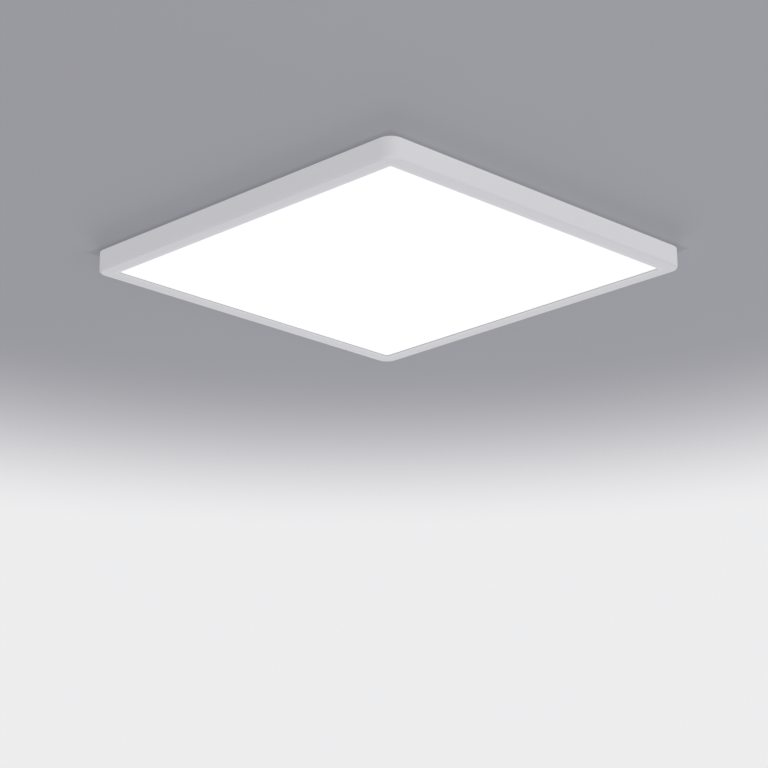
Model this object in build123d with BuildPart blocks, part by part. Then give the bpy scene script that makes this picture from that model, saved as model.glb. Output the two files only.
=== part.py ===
from build123d import *

import os
from math import pi, sqrt

os.makedirs("parts", exist_ok=True)

# A square flush ceiling lamp. The ceiling is the plane z = 0, the lamp hangs below it, and the
# origin is the middle of the bracket's upper face. Lengths are in millimetres.

ON_TOP = (Align.CENTER, Align.CENTER, Align.MIN)
BELOW = (Align.CENTER, Align.CENTER, Align.MAX)

# Frame: a moulded ring whose outer wall reaches up to the ceiling.
panel_side = 500.0
panel_depth = 26.0
rim_width = 21.0  # from the outer face to the lit opening
corner_radius = 16.0
lower_edge_radius = 3.0
upper_edge_radius = 0.8
frame_wall = 2.5
frame_flange = 2.5
lip_thickness = 1.5  # the diffuser lies on the lip, so it stands this deep in the frame
lip_width = 9.0
window_corner_radius = 1.0
window_edge_radius = 0.4
end_screw_inset = 85.0  # from the frame's side to the nearest chassis screw along a side
boss_radius = 3.5
boss_wall_gap = 0.5
boss_web = 2.0
ribs_per_bay = 3
rib_thickness = 1.2
rib_headroom = 12.0  # the ribs end this far below the ceiling
rib_crest = 1.5

# Stack of plates above the lip.
diffuser_fit = 0.3
diffuser_corner_radius = 3.0
diffuser_thickness = 2.0
guide_thickness = 3.0
reflector_thickness = 0.4
reflector_inset = 1.0
foam_thickness = 2.0
foam_inset = 2.0
foam_hole_radius = 4.5
guide_corner_cut = 10.0
foam_corner_cut = 14.0

# Chassis: a folded sheet tray, open below, whose rim presses the diffuser onto the lip.
chassis_sheet = 0.8
chassis_inset = 0.9  # from the diffuser's edge to the tray's side
chassis_relief = 4.0
ear_width = 14.0
ear_wall_gap = 0.5
bead_length = 300.0
bead_width = 12.0
bead_height = 0.8
bead_inset = 45.0  # from the frame's side to the long beads
short_bead_length = 200.0
short_bead_columns = (85.0, 125.0, 165.0)

# Light strips along the four edges of the guide.
strip_thickness = 1.2
strip_gap = 0.2
strip_end_gap = 14.0
chip_projection = 0.8
chip_length = 3.5
chip_width = 2.8
chip_pitch = 7.5
chip_gap = 0.3

# Screws.
screw_fit = 0.05
chassis_screw_radius = 1.45
chassis_screw_length = 6.5
chassis_screw_head = 2.8
chassis_screw_head_height = 2.0
screw_hole_slack = 0.3
small_screw_radius = 1.1
small_screw_head = 2.1
small_screw_head_height = 1.3
screw_below_chassis = 1.2  # how far a screw's tip stands out below the chassis

# Bracket and hooks.
bracket_width = 56.0
bracket_length = 280.0
bracket_sheet = 1.5
bracket_corner_radius = 6.0
bracket_bend_radius = 0.75
bracket_flange = 5.0
bracket_flange_length = 190.0
bracket_relief = 1.5
cable_hole_radius = 10.0
ceiling_slot_spacing = 190.0
ceiling_slot_length = 20.0
ceiling_slot_width = 5.5
box_slot_spacing = 78.0
box_slot_length = 26.0
box_slot_width = 5.0
hook_row = 120.0
hook_width = 16.0
hook_back = -10.0  # x of the hook leg's outer face
hook_reach = 14.0  # from that face to the tongue's tip
hook_window_length = 22.0
hook_fit = 0.5
hook_seat = -8.0  # z of the tongue's upper face, which carries the lamp
slide_travel = 13.5
slide_end_gap = 0.2
hanger_sheet = 1.2
hanger_length = 70.0
hanger_tunnel = 26.0
hanger_foot = 9.0
hanger_bend_radius = 1.4
rivet_radius = 1.6
rivet_head = 3.0
rivet_head_height = 1.0
rivet_tail = 2.6
rivet_tail_height = 0.8
rivet_fit = 0.05
rivet_column = 28.0

# Bushing in the bracket's cable hole.
bushing_bore = 6.5
bushing_flange = 13.0
bushing_flange_thickness = 1.5
bushing_nose = 8.5
bushing_length = 5.0
bushing_fit = 0.05

# Driver: a flat plastic box with its circuit board.
driver_x = -92.0
driver_y = 55.0
driver_width = 52.0
driver_length = 160.0
driver_wall = 1.5
driver_floor = 1.5
driver_lid = 1.5
driver_headroom = 1.8
driver_corner_radius = 2.0
driver_ear_x = 14.0
driver_ear_width = 14.0
driver_ear_length = 9.0
driver_ear_thickness = 2.2
lid_rim_thickness = 1.0
lid_rim_depth = 1.5
lid_rim_fit = 0.2
standoff_radius = 3.0
standoff_x = 19.5
standoff_y = 71.0
circuit_thickness = 1.6
circuit_gap = 0.8
tall_part_gap = 0.4

# Components on the driver's board: places are across and along from the driver's middle.
component_edge = 0.3
fuse_place = (3.0, -62.0)
fuse_radius = 2.2
fuse_length = 14.0
fuse_cap_length = 3.0
fuse_cap_step = 0.2
varistor_place = (13.0, -58.0)
varistor_thickness = 3.6
film_capacitor_place = (-9.0, -50.0)
film_capacitor_size = (13.0, 6.0)
choke_place = (9.0, -41.0)
choke_outer = 8.0
choke_inner = 3.4
choke_height = 5.0
winding_build = 0.9
winding_gap = 0.1
winding_arc = 110
rectifier_place = (-12.0, -33.0)
rectifier_size = (6.5, 5.0, 3.0)
power_device_places = ((10.0, -22.0), (13.0, 46.0))
power_device_size = (6.0, 10.0, 4.4)
small_chip_places = ((13.0, -6.0), (13.0, 2.0))
small_chip_size = (4.0, 5.0, 1.6)
transformer_place = (2.0, 22.0)
core_width = 26.0
core_length = 24.0
core_leg = 4.0
core_yoke = 4.5
core_gap = 0.3
winding_corner = 1.2
capacitor_places = ((-15.0, -12.0), (-4.0, -12.0), (-14.0, 54.0), (-3.0, 54.0))
capacitor_length = 18.0

# Terminal box.
terminal_x = -82.0
terminal_y = -70.0
terminal_width = 60.0
terminal_length = 50.0
terminal_wall = 1.6
terminal_floor = 1.6
terminal_lid = 1.6
terminal_headroom = 2.8
terminal_corner_radius = 1.5
terminal_screw_inset = 5.5
cable_notch_width = 9.0
cable_notch_floor = 3.3  # above the chassis
lead_notch_floor = 2.6
hinge_offset = 2.5
hinge_drop = 2.2  # the pin's axis lies this far below the lid's upper face
hinge_knuckle_radius = 2.2
hinge_pin_radius = 1.0
hinge_pin_seat = 0.02
hinge_pin_clearance = 0.06
cover_knuckle_length = 22.0
base_knuckle_length = 8.0
knuckle_gap = 0.4
cover_gap = 0.3
cover_lip_depth = 3.6
cover_lip_thickness = 1.2
cover_lip_width = 8.0
cover_lip_row = 19.0

# Terminal block with three poles.
block_x = -87.0
block_width = 22.0
block_length = 25.0
block_roof = 1.5
block_wall = 3.0
pole_pitch = 7.5
chamber_width = 4.8
chamber_wall = 2.0
button_size_x = 4.0
button_size_y = 4.4
button_travel = 1.5
button_side_gap = 0.15
button_cover_gap = 0.4
button_stop_gap = 0.3
button_shoulder = 0.5
button_shoulder_height = 0.7
button_from_face = 5.5  # from the block's entry face to the button's middle
prong_thickness = 1.0
prong_length = 0.8
spring_thickness = 0.4
spring_bend = 1.0
spring_gap = 0.3
spring_end_gap = 1.0
contact_thickness = 0.8
contact_gap = 0.2
entry_size = 3.2

# Cable clamp in the terminal box.
clamp_x = -60.0
clamp_width = 6.0
clamp_length = 28.0
clamp_thickness = 2.5
clamp_screw_row = 11.0
clamp_boss_radius = 2.6
clamp_headroom = 0.4  # from its screws' heads to the cover
clamp_screw_end_gap = 1.0
saddle_height = 2.0
saddle_length = 12.0
saddle_width = 5.0

# Leads.
mains_lead_radius = 1.1
mains_lead_pitch = 3.4
mains_lead_bend = 3.0
lead_under_contact = 3.0
panel_lead_radius = 0.5
panel_lead_half_pitch = 0.55
panel_lead_bend = 6.0
panel_lead_x = driver_x - 2.0
panel_lead_slope = 11.0
panel_lead_rise = 2.1
slope_bend = 4.0
drop_bend = 1.2
lead_row = 185.0  # y of the run along the rear side
diagonal_start = -185.0
jumper_bend = 6.0
jumper_overlap = 2.0
lead_gap = 0.05
lead_side_gap = 0.4
board_to_lead = 0.3
lead_in_driver = 4.0
lead_in_box = 2.0  # how far the earth lead runs straight before it slopes down
lead_in_lug = 1.0
lug_x = -76.0
lug_y = -39.5
lug_radius = 4.0
lug_thickness = 0.8
lug_barrel_radius = 1.8
lug_barrel_length = 6.0
earth_screw_radius = 2.0
earth_screw_head = 3.5
earth_screw_head_height = 2.4
earth_washer_thickness = 0.6
grommet_radius = 2.2
grommet_flange = 3.2
grommet_flange_thickness = 0.8
grommet_bore = 1.3
grommet_inset = 2.0  # from the guide's corner to the grommet's middle, along each side
clip_length = 7.0
clip_width = 8.0
clip_height = 3.0
clip_from_corner = 21.0

# Heights, from the lower face of the frame upwards.
frame_bottom = -panel_depth
lip_top = frame_bottom + lip_thickness
flange_top = frame_bottom + frame_flange
diffuser_top = lip_top + diffuser_thickness
guide_top = diffuser_top + guide_thickness
reflector_top = guide_top + reflector_thickness
foam_top = reflector_top + foam_thickness
chassis_top = foam_top + chassis_sheet

# Half widths, from the outer face of the frame inwards.
panel_half = panel_side / 2
wall_inner = panel_half - frame_wall
window_half = panel_half - rim_width
diffuser_half = window_half + lip_width
chassis_half = diffuser_half - chassis_inset
strip_outer = chassis_half - chassis_sheet
strip_inner = strip_outer - strip_thickness
guide_half = strip_inner - chip_projection - chip_gap

# Chassis screws: three along each side.
boss_distance = wall_inner - boss_radius - boss_wall_gap
boss_hole_depth = chassis_screw_length - chassis_sheet + screw_hole_slack
end_screw = panel_half - end_screw_inset
screw_rows = (-end_screw, 0, end_screw)
rib_pitch = end_screw / (ribs_per_bay + 1)
rib_steps = [step for step in range(1, ribs_per_bay + 3) if step != ribs_per_bay + 1]
rib_rows = [sign * step * rib_pitch for sign in (-1, 1) for step in rib_steps]

SIDES = {"right": 0, "rear": 90, "left": 180, "front": 270}


def pan_screw(head_radius, head_height, shank_radius, shank_length):
    """A pan-head screw with a cross recess: its head stands on z = 0 and its shank hangs below."""
    slot = head_radius * 0.3
    recess = head_height * 0.6
    with BuildPart() as screw:
        Cylinder(head_radius, head_height, align=ON_TOP)
        fillet(screw.edges().sort_by(Axis.Z)[-1], head_height * 0.4)
        Cylinder(shank_radius, shank_length, align=BELOW)
        chamfer(screw.edges().sort_by(Axis.Z)[0], shank_radius * 0.4)
        with Locations((0, 0, head_height)):
            Box(head_radius * 1.2, slot, recess, align=BELOW, mode=Mode.SUBTRACT)
            Box(slot, head_radius * 1.2, recess, align=BELOW, mode=Mode.SUBTRACT)
    return screw.part


def rivet(grip):
    """A rivet that holds a thickness of grip: its dome stands on z = 0."""
    with BuildPart() as one_rivet:
        Cylinder(rivet_head, rivet_head_height, align=ON_TOP)
        fillet(one_rivet.edges().sort_by(Axis.Z)[-1], rivet_head_height * 0.9)
        Cylinder(rivet_radius, grip, align=BELOW)
        with Locations((0, 0, -grip)):
            Cylinder(rivet_tail, rivet_tail_height, align=BELOW)
    return one_rivet.part


def round_lead(points, bends, radius):
    """A lead of round section along straight runs joined by tangent arcs, one bend for each corner."""
    with BuildPart() as lead:
        with BuildLine() as route:
            FilletPolyline(*points, radius=bends)
        path = Wire(route.edges())
        with BuildSketch(Plane(origin=path @ 0, z_dir=path % 0)):
            Circle(radius)
        sweep(path=path)
    whole = lead.part.volume / (pi * radius**2 * path.length)
    print(f"lead of {path.length:.1f} mm, {whole:.4f} of its section times its length")
    return lead.part


def circuit_box(length, width, height, edge):
    """A block standing on z = 0 with its upright and upper edges rounded."""
    with BuildPart() as block:
        Box(length, width, height, align=ON_TOP)
        fillet(block.edges().filter_by(Axis.Z), edge)
        fillet(block.faces().sort_by(Axis.Z)[-1].edges(), edge)
    return block.part


# ----- Frame -----

with BuildPart() as rib:
    rib_points = [
        (diffuser_half + diffuser_fit, flange_top),
        (wall_inner + frame_wall / 2, flange_top),
        (wall_inner + frame_wall / 2, -rib_headroom),
        (wall_inner - rib_crest, -rib_headroom),
        (diffuser_half + diffuser_fit, flange_top + rib_crest),
    ]
    with BuildSketch(Plane.XZ):
        with BuildLine():
            Polyline(*rib_points, close=True)
        make_face()
    extrude(amount=rib_thickness / 2, both=True)

with BuildPart() as frame:
    with BuildSketch(Plane.XY.offset(frame_bottom)):
        RectangleRounded(panel_side, panel_side, corner_radius)
    extrude(amount=panel_depth)
    fillet(frame.faces().sort_by(Axis.Z)[0].edges(), lower_edge_radius)
    fillet(frame.faces().sort_by(Axis.Z)[-1].edges(), upper_edge_radius)
    with BuildSketch(Plane.XY.offset(flange_top)):
        RectangleRounded(2 * wall_inner, 2 * wall_inner, corner_radius - frame_wall)
    extrude(amount=-flange_top, mode=Mode.SUBTRACT)
    with BuildSketch(Plane.XY.offset(lip_top)):
        Rectangle(2 * (diffuser_half + diffuser_fit), 2 * (diffuser_half + diffuser_fit))
    extrude(amount=flange_top - lip_top, mode=Mode.SUBTRACT)
    with BuildSketch(Plane.XY.offset(frame_bottom)):
        RectangleRounded(2 * window_half, 2 * window_half, window_corner_radius)
    extrude(amount=lip_thickness, mode=Mode.SUBTRACT)
    fillet(frame.faces().sort_by(Axis.Z)[0].inner_wires().edges(), window_edge_radius)
    with PolarLocations(0, 4):
        with Locations(*[(0, row, 0) for row in rib_rows]):
            add(rib.part)
        with Locations(*[(boss_distance, row, flange_top) for row in screw_rows]):
            Cylinder(boss_radius, foam_top - flange_top, align=ON_TOP)
            Box(boss_radius + boss_wall_gap + frame_wall / 2, boss_web, foam_top - flange_top,
                align=(Align.MIN, Align.CENTER, Align.MIN))
        with Locations(*[(boss_distance, row, foam_top) for row in screw_rows]):
            Cylinder(chassis_screw_radius + screw_fit, boss_hole_depth, align=BELOW, mode=Mode.SUBTRACT)
frame.part.label = "frame"
export_step(frame.part, "parts/frame.step")

# ----- Plates of the lit stack -----

with BuildPart() as diffuser:
    with BuildSketch(Plane.XY.offset(lip_top)):
        RectangleRounded(2 * diffuser_half, 2 * diffuser_half, diffuser_corner_radius)
    extrude(amount=diffuser_thickness)
diffuser.part.label = "diffuser"
export_step(diffuser.part, "parts/diffuser.step")

with BuildPart() as light_guide:
    with BuildSketch(Plane.XY.offset(diffuser_top)) as guide_outline:
        Rectangle(2 * guide_half, 2 * guide_half)
        chamfer(guide_outline.vertices(), guide_corner_cut)
    extrude(amount=guide_thickness)
light_guide.part.label = "light_guide"
export_step(light_guide.part, "parts/light_guide.step")

with BuildPart() as reflector_sheet:
    with BuildSketch(Plane.XY.offset(guide_top)) as reflector_outline:
        Rectangle(2 * (guide_half - reflector_inset), 2 * (guide_half - reflector_inset))
        chamfer(reflector_outline.vertices(), guide_corner_cut)
    extrude(amount=reflector_thickness)
reflector_sheet.part.label = "reflector_sheet"
export_step(reflector_sheet.part, "parts/reflector_sheet.step")

# ----- Places on the chassis -----

rivet_places = [
    (column, row + side * (hanger_tunnel / 2 + hanger_sheet + hanger_foot / 2))
    for column in (-rivet_column, rivet_column)
    for row in (-hook_row, hook_row)
    for side in (-1, 1)
]
driver_screw_row = driver_length / 2 + driver_ear_length / 2
driver_screw_places = [(driver_x + driver_ear_x, driver_y + end * driver_screw_row) for end in (-1, 1)]
terminal_screw_places = [
    (terminal_x + side * (terminal_width / 2 - terminal_screw_inset),
     terminal_y + side * (terminal_length / 2 - terminal_screw_inset))
    for side in (-1, 1)
]
earth_place = (lug_x, lug_y)
grommet_place = (-(guide_half - grommet_inset), guide_half - grommet_inset)

with BuildPart() as foam_sheet:
    with BuildSketch(Plane.XY.offset(reflector_top)) as foam_outline:
        Rectangle(2 * (guide_half - foam_inset), 2 * (guide_half - foam_inset))
        chamfer(foam_outline.vertices(), foam_corner_cut)
        with Locations(*rivet_places, *driver_screw_places, *terminal_screw_places, earth_place):
            Circle(foam_hole_radius, mode=Mode.SUBTRACT)
    extrude(amount=foam_thickness)
foam_sheet.part.label = "foam_sheet"
export_step(foam_sheet.part, "parts/foam_sheet.step")

# ----- Chassis -----

ear_end = wall_inner - ear_wall_gap
long_bead_distance = panel_half - bead_inset

with BuildPart() as chassis:
    with BuildSketch(Plane.XY.offset(foam_top)):
        Rectangle(2 * chassis_half, 2 * chassis_half)
        with PolarLocations(0, 4):
            with Locations(*[(ear_end / 2, row) for row in screw_rows]):
                Rectangle(ear_end, ear_width)
        with Locations(*rivet_places):
            Circle(rivet_radius + rivet_fit, mode=Mode.SUBTRACT)
        with Locations(*driver_screw_places, *terminal_screw_places):
            Circle(chassis_screw_radius + screw_fit, mode=Mode.SUBTRACT)
        with Locations(earth_place):
            Circle(earth_screw_radius + screw_fit, mode=Mode.SUBTRACT)
        with Locations(grommet_place):
            Circle(grommet_radius + screw_fit, mode=Mode.SUBTRACT)
        with PolarLocations(boss_distance, 4):
            with Locations(*[(0, row) for row in screw_rows]):
                Circle(chassis_screw_radius + screw_hole_slack, mode=Mode.SUBTRACT)
    extrude(amount=chassis_sheet)
    with BuildSketch(Plane.XY.offset(diffuser_top)):
        Rectangle(2 * chassis_half, 2 * chassis_half)
        Rectangle(2 * strip_outer, 2 * strip_outer, mode=Mode.SUBTRACT)
        with GridLocations(2 * chassis_half, 2 * chassis_half, 2, 2):
            Rectangle(2 * chassis_relief, 2 * chassis_relief, mode=Mode.SUBTRACT)
    extrude(amount=foam_top - diffuser_top)
    with BuildSketch(Plane.XY.offset(chassis_top)):
        with PolarLocations(long_bead_distance, 4):
            SlotOverall(bead_length, bead_width, rotation=90)
        with Locations(*[(column, 0) for column in short_bead_columns]):
            SlotOverall(short_bead_length, bead_width, rotation=90)
    extrude(amount=bead_height)
    with BuildSketch(Plane.XY.offset(foam_top)):
        with PolarLocations(long_bead_distance, 4):
            SlotOverall(bead_length - 2 * chassis_sheet, bead_width - 2 * chassis_sheet, rotation=90)
        with Locations(*[(column, 0) for column in short_bead_columns]):
            SlotOverall(short_bead_length - 2 * chassis_sheet, bead_width - 2 * chassis_sheet, rotation=90)
    extrude(amount=bead_height, mode=Mode.SUBTRACT)
chassis.part.label = "chassis"
export_step(chassis.part, "parts/chassis.step")

with BuildPart() as chassis_screws:
    with PolarLocations(boss_distance, 4):
        with Locations(*[(0, row, chassis_top) for row in screw_rows]):
            add(pan_screw(chassis_screw_head, chassis_screw_head_height,
                          chassis_screw_radius, chassis_screw_length))
chassis_screws.part.label = "chassis_screws"
export_step(chassis_screws.part, "parts/chassis_screws.step")

# ----- Light strips -----

strip_length = 2 * (guide_half - strip_end_gap)
strip_bottom = diffuser_top + strip_gap
strip_width = foam_top - strip_gap - strip_bottom
light_height = (diffuser_top + guide_top) / 2
chip_count = int((strip_length - chip_pitch) // chip_pitch)

for side, angle in SIDES.items():
    with BuildPart(Plane.XY.rotated((0, 0, angle))) as led_board:
        with Locations((strip_inner, 0, strip_bottom)):
            Box(strip_thickness, strip_length, strip_width, align=(Align.MIN, Align.CENTER, Align.MIN))
    led_board.part.label = f"led_board_{side}"
    export_step(led_board.part, f"parts/led_board_{side}.step")

    with BuildPart(Plane.XY.rotated((0, 0, angle))) as led_chips:
        with Locations((strip_inner, 0, light_height)):
            with GridLocations(0, chip_pitch, 1, chip_count):
                Box(chip_projection, chip_length, chip_width, align=(Align.MAX, Align.CENTER, Align.CENTER))
    led_chips.part.label = f"led_chips_{side}"
    export_step(led_chips.part, f"parts/led_chips_{side}.step")

# The strips are one chain, so a single jumper passes round each corner but the one where the leads enter.
jumper_line = strip_inner - panel_lead_radius - lead_gap
jumper_start = strip_length / 2 - jumper_overlap
one_jumper = round_lead(
    [
        (jumper_line, jumper_start, light_height),
        (jumper_line, jumper_line, light_height),
        (jumper_start, jumper_line, light_height),
    ],
    [jumper_bend],
    panel_lead_radius,
)
with BuildPart() as strip_jumpers:
    for angle in (SIDES["right"], SIDES["left"], SIDES["front"]):
        add(one_jumper, rotation=(0, 0, angle))
strip_jumpers.part.label = "strip_jumpers"
export_step(strip_jumpers.part, "parts/strip_jumpers.step")

# ----- Bracket -----

tongue_middle = hook_seat - bracket_sheet / 2
hook_leg_middle = hook_back + bracket_sheet / 2
tongue_tip = hook_back + hook_reach

bracket_fold = bracket_bend_radius + bracket_sheet

with BuildPart() as ceiling_bracket:
    with BuildSketch(Plane.XY):
        RectangleRounded(bracket_width, bracket_length, bracket_corner_radius)
        with GridLocations(bracket_width, 0, 2, 1):
            Rectangle(2 * bracket_fold, bracket_flange_length + 2 * bracket_relief, mode=Mode.SUBTRACT)
        Circle(cable_hole_radius, mode=Mode.SUBTRACT)
        with GridLocations(0, ceiling_slot_spacing, 1, 2):
            SlotOverall(ceiling_slot_length, ceiling_slot_width, rotation=90, mode=Mode.SUBTRACT)
        with GridLocations(0, box_slot_spacing, 1, 2):
            SlotOverall(box_slot_length, box_slot_width, rotation=90, mode=Mode.SUBTRACT)
        with Locations(*[(hook_back + bracket_sheet + hook_window_length / 2, row)
                         for row in (-hook_row, hook_row)]):
            Rectangle(hook_window_length, hook_width + 2 * hook_fit, mode=Mode.SUBTRACT)
    extrude(amount=-bracket_sheet)
    for side in (-1, 1):
        with BuildSketch(Plane.XZ):
            with BuildLine():
                FilletPolyline(
                    (side * (bracket_width / 2 - 2 * bracket_fold), -bracket_sheet / 2),
                    (side * (bracket_width - bracket_sheet) / 2, -bracket_sheet / 2),
                    (side * (bracket_width - bracket_sheet) / 2, -bracket_sheet - bracket_flange),
                    radius=bracket_bend_radius + bracket_sheet / 2,
                )
            trace(line_width=bracket_sheet)
        extrude(amount=bracket_flange_length / 2, both=True)
    for row in (-hook_row, hook_row):
        with BuildSketch(Plane.XZ.offset(-row)):
            with BuildLine():
                FilletPolyline(
                    (hook_leg_middle, -bracket_sheet / 2),
                    (hook_leg_middle, tongue_middle),
                    (tongue_tip, tongue_middle),
                    radius=bracket_bend_radius + bracket_sheet / 2,
                )
            trace(line_width=bracket_sheet)
        extrude(amount=hook_width / 2, both=True)
ceiling_bracket.part.label = "ceiling_bracket"
export_step(ceiling_bracket.part, "parts/ceiling_bracket.step")

with BuildPart() as cable_bushing:
    Cylinder(cable_hole_radius - bushing_fit, bracket_sheet, align=BELOW)
    with Locations((0, 0, -bracket_sheet)):
        Cylinder(bushing_flange, bushing_flange_thickness, align=BELOW)
    Cylinder(bushing_nose, bushing_length, align=BELOW)
    Cylinder(bushing_bore, bushing_length, align=BELOW, mode=Mode.SUBTRACT)
cable_bushing.part.label = "cable_bushing"
export_step(cable_bushing.part, "parts/cable_bushing.step")

# ----- Hangers -----

web_middle = hook_seat + hanger_sheet / 2
hanger_side = hanger_tunnel / 2 + hanger_sheet / 2
hanger_foot_end = hanger_tunnel / 2 + hanger_sheet + hanger_foot
window_stop = hook_back + bracket_sheet + bracket_bend_radius + slide_end_gap
window_far_end = hook_back - slide_travel - slide_end_gap


def hanger(row):
    """A hat-shaped hanger on the chassis, whose web lies on the bracket's tongue in that row."""
    with BuildPart() as one_hanger:
        with BuildSketch(Plane.YZ.offset(-hanger_length / 2)):
            with BuildLine():
                FilletPolyline(
                    (row - hanger_foot_end, chassis_top + hanger_sheet / 2),
                    (row - hanger_side, chassis_top + hanger_sheet / 2),
                    (row - hanger_side, web_middle),
                    (row + hanger_side, web_middle),
                    (row + hanger_side, chassis_top + hanger_sheet / 2),
                    (row + hanger_foot_end, chassis_top + hanger_sheet / 2),
                    radius=hanger_bend_radius,
                )
            trace(line_width=hanger_sheet)
        extrude(amount=hanger_length)
        with Locations(((window_stop + window_far_end) / 2, row, web_middle)):
            Box(window_stop - window_far_end, hook_width + 2 * hook_fit, 2 * hanger_sheet, mode=Mode.SUBTRACT)
        feet = [place for place in rivet_places if place[1] * row > 0]
        with Locations(*[(x, y, chassis_top) for x, y in feet]):
            Cylinder(rivet_radius + rivet_fit, hanger_sheet, align=ON_TOP, mode=Mode.SUBTRACT)
    return one_hanger.part


with BuildPart() as hanger_front:
    add(hanger(-hook_row))
hanger_front.part.label = "hanger_front"
export_step(hanger_front.part, "parts/hanger_front.step")

with BuildPart() as hanger_rear:
    add(hanger(hook_row))
hanger_rear.part.label = "hanger_rear"
export_step(hanger_rear.part, "parts/hanger_rear.step")

with BuildPart() as hanger_rivets:
    with Locations(*[(x, y, chassis_top + hanger_sheet) for x, y in rivet_places]):
        add(rivet(hanger_sheet + chassis_sheet))
hanger_rivets.part.label = "hanger_rivets"
export_step(hanger_rivets.part, "parts/hanger_rivets.step")

# ----- Terminal box -----

terminal_floor_top = chassis_top + terminal_floor
terminal_cover_top = -terminal_headroom
terminal_rim = terminal_cover_top - terminal_lid
terminal_left = terminal_x - terminal_width / 2
terminal_right = terminal_x + terminal_width / 2
terminal_rear = terminal_y + terminal_length / 2
hinge_x = terminal_left - hinge_offset
hinge_z = terminal_cover_top - hinge_drop
base_knuckle_row = cover_knuckle_length / 2 + knuckle_gap + base_knuckle_length / 2
pin_length = 2 * (cover_knuckle_length / 2 + knuckle_gap + base_knuckle_length)
pole_rows = [terminal_y + step * pole_pitch for step in (-1, 0, 1)]
block_left = block_x - block_width / 2
block_right = block_x + block_width / 2
chamber_left = block_left + block_wall
chamber_right = block_right - chamber_wall
button_x = block_right - button_from_face
button_top = terminal_rim - button_cover_gap
block_top = button_top - button_travel - button_stop_gap
chamber_roof = block_top - block_roof
contact_bottom = chamber_roof - contact_gap - contact_thickness
mains_lead_z = contact_bottom - lead_gap - mains_lead_radius
clamp_row_places = [(clamp_x, terminal_y + side * clamp_screw_row) for side in (-1, 1)]
clamp_bottom = terminal_rim - clamp_headroom - small_screw_head_height - clamp_thickness
clamp_boss_height = clamp_bottom - terminal_floor_top
clamp_screw_length = clamp_thickness + clamp_boss_height - clamp_screw_end_gap
lead_turns = [terminal_left + terminal_wall + (step + 1) * mains_lead_pitch for step in (0, 1, 2)]
lead_notch_middle = lead_turns[1]
lead_notch_width = 2 * (mains_lead_pitch + mains_lead_radius + lead_side_gap)


def lying_cylinder(x, y, z, radius, length):
    """A cylinder of that length whose axis is parallel to Y and whose middle is at x, y, z."""
    with BuildPart() as lying:
        with BuildSketch(Plane.XZ.offset(-y)):
            with Locations((x, z)):
                Circle(radius)
        extrude(amount=length / 2, both=True)
    return lying.part


with BuildPart() as terminal_base:
    with BuildSketch(Plane.XY.offset(chassis_top)):
        with Locations((terminal_x, terminal_y)):
            RectangleRounded(terminal_width, terminal_length, terminal_corner_radius)
    extrude(amount=terminal_rim - chassis_top)
    with BuildSketch(Plane.XY.offset(terminal_floor_top)):
        with Locations((terminal_x, terminal_y)):
            Rectangle(terminal_width - 2 * terminal_wall, terminal_length - 2 * terminal_wall)
    extrude(amount=terminal_rim - terminal_floor_top, mode=Mode.SUBTRACT)
    # Entry for the supply cable, and the way out for the leads.
    with Locations((terminal_right, terminal_y, chassis_top + cable_notch_floor)):
        Box(3 * terminal_wall, cable_notch_width, terminal_rim - chassis_top, align=ON_TOP,
            mode=Mode.SUBTRACT)
    with Locations((lead_notch_middle, terminal_rear, chassis_top + lead_notch_floor)):
        Box(lead_notch_width, 3 * terminal_wall, terminal_rim - chassis_top, align=ON_TOP, mode=Mode.SUBTRACT)
    # Bosses of the cable clamp and the saddle that the cable lies on.
    with Locations(*[(x, y, terminal_floor_top) for x, y in clamp_row_places]):
        Cylinder(clamp_boss_radius, clamp_boss_height, align=ON_TOP)
    with Locations((clamp_x, terminal_y, terminal_floor_top)):
        Box(saddle_width, saddle_length, saddle_height, align=ON_TOP)
    with Locations(*[(x, y, clamp_bottom) for x, y in clamp_row_places]):
        Cylinder(small_screw_radius + screw_fit, clamp_screw_length - clamp_thickness, align=BELOW,
                 mode=Mode.SUBTRACT)
    # Knuckles for the hinge pin.
    for side in (-1, 1):
        knuckle_y = terminal_y + side * base_knuckle_row
        add(lying_cylinder(hinge_x, knuckle_y, hinge_z, hinge_knuckle_radius, base_knuckle_length))
        with Locations((hinge_x, knuckle_y, hinge_z)):
            Box(hinge_offset + terminal_wall / 2, base_knuckle_length, hinge_knuckle_radius,
                align=(Align.MIN, Align.CENTER, Align.MAX))
    add(lying_cylinder(hinge_x, terminal_y, hinge_z, hinge_pin_radius + hinge_pin_seat, pin_length),
        mode=Mode.SUBTRACT)
    with Locations(*[(x, y, chassis_top) for x, y in terminal_screw_places]):
        Cylinder(chassis_screw_radius + screw_hole_slack, terminal_floor, align=ON_TOP, mode=Mode.SUBTRACT)
terminal_base.part.label = "terminal_base"
export_step(terminal_base.part, "parts/terminal_base.step")

cover_left = terminal_left + cover_gap
cover_right = terminal_right + cover_gap + cover_lip_thickness

with BuildPart() as terminal_cover:
    with BuildSketch(Plane.XY.offset(terminal_rim)):
        with Locations(((cover_left + cover_right) / 2, terminal_y)):
            RectangleRounded(cover_right - cover_left, terminal_length, cover_lip_thickness / 2)
        with Locations(((hinge_x + terminal_x) / 2, terminal_y)):
            Rectangle(terminal_x - hinge_x, cover_knuckle_length)
    extrude(amount=terminal_lid)
    add(lying_cylinder(hinge_x, terminal_y, hinge_z, hinge_knuckle_radius, cover_knuckle_length))
    add(lying_cylinder(hinge_x, terminal_y, hinge_z, hinge_pin_radius + hinge_pin_clearance,
                       cover_knuckle_length), mode=Mode.SUBTRACT)
    with Locations(*[(terminal_right + cover_gap, terminal_y + side * cover_lip_row, terminal_rim)
                     for side in (-1, 1)]):
        Box(cover_lip_thickness, cover_lip_width, cover_lip_depth, align=(Align.MIN, Align.CENTER, Align.MAX))
terminal_cover.part.label = "terminal_cover"
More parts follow.
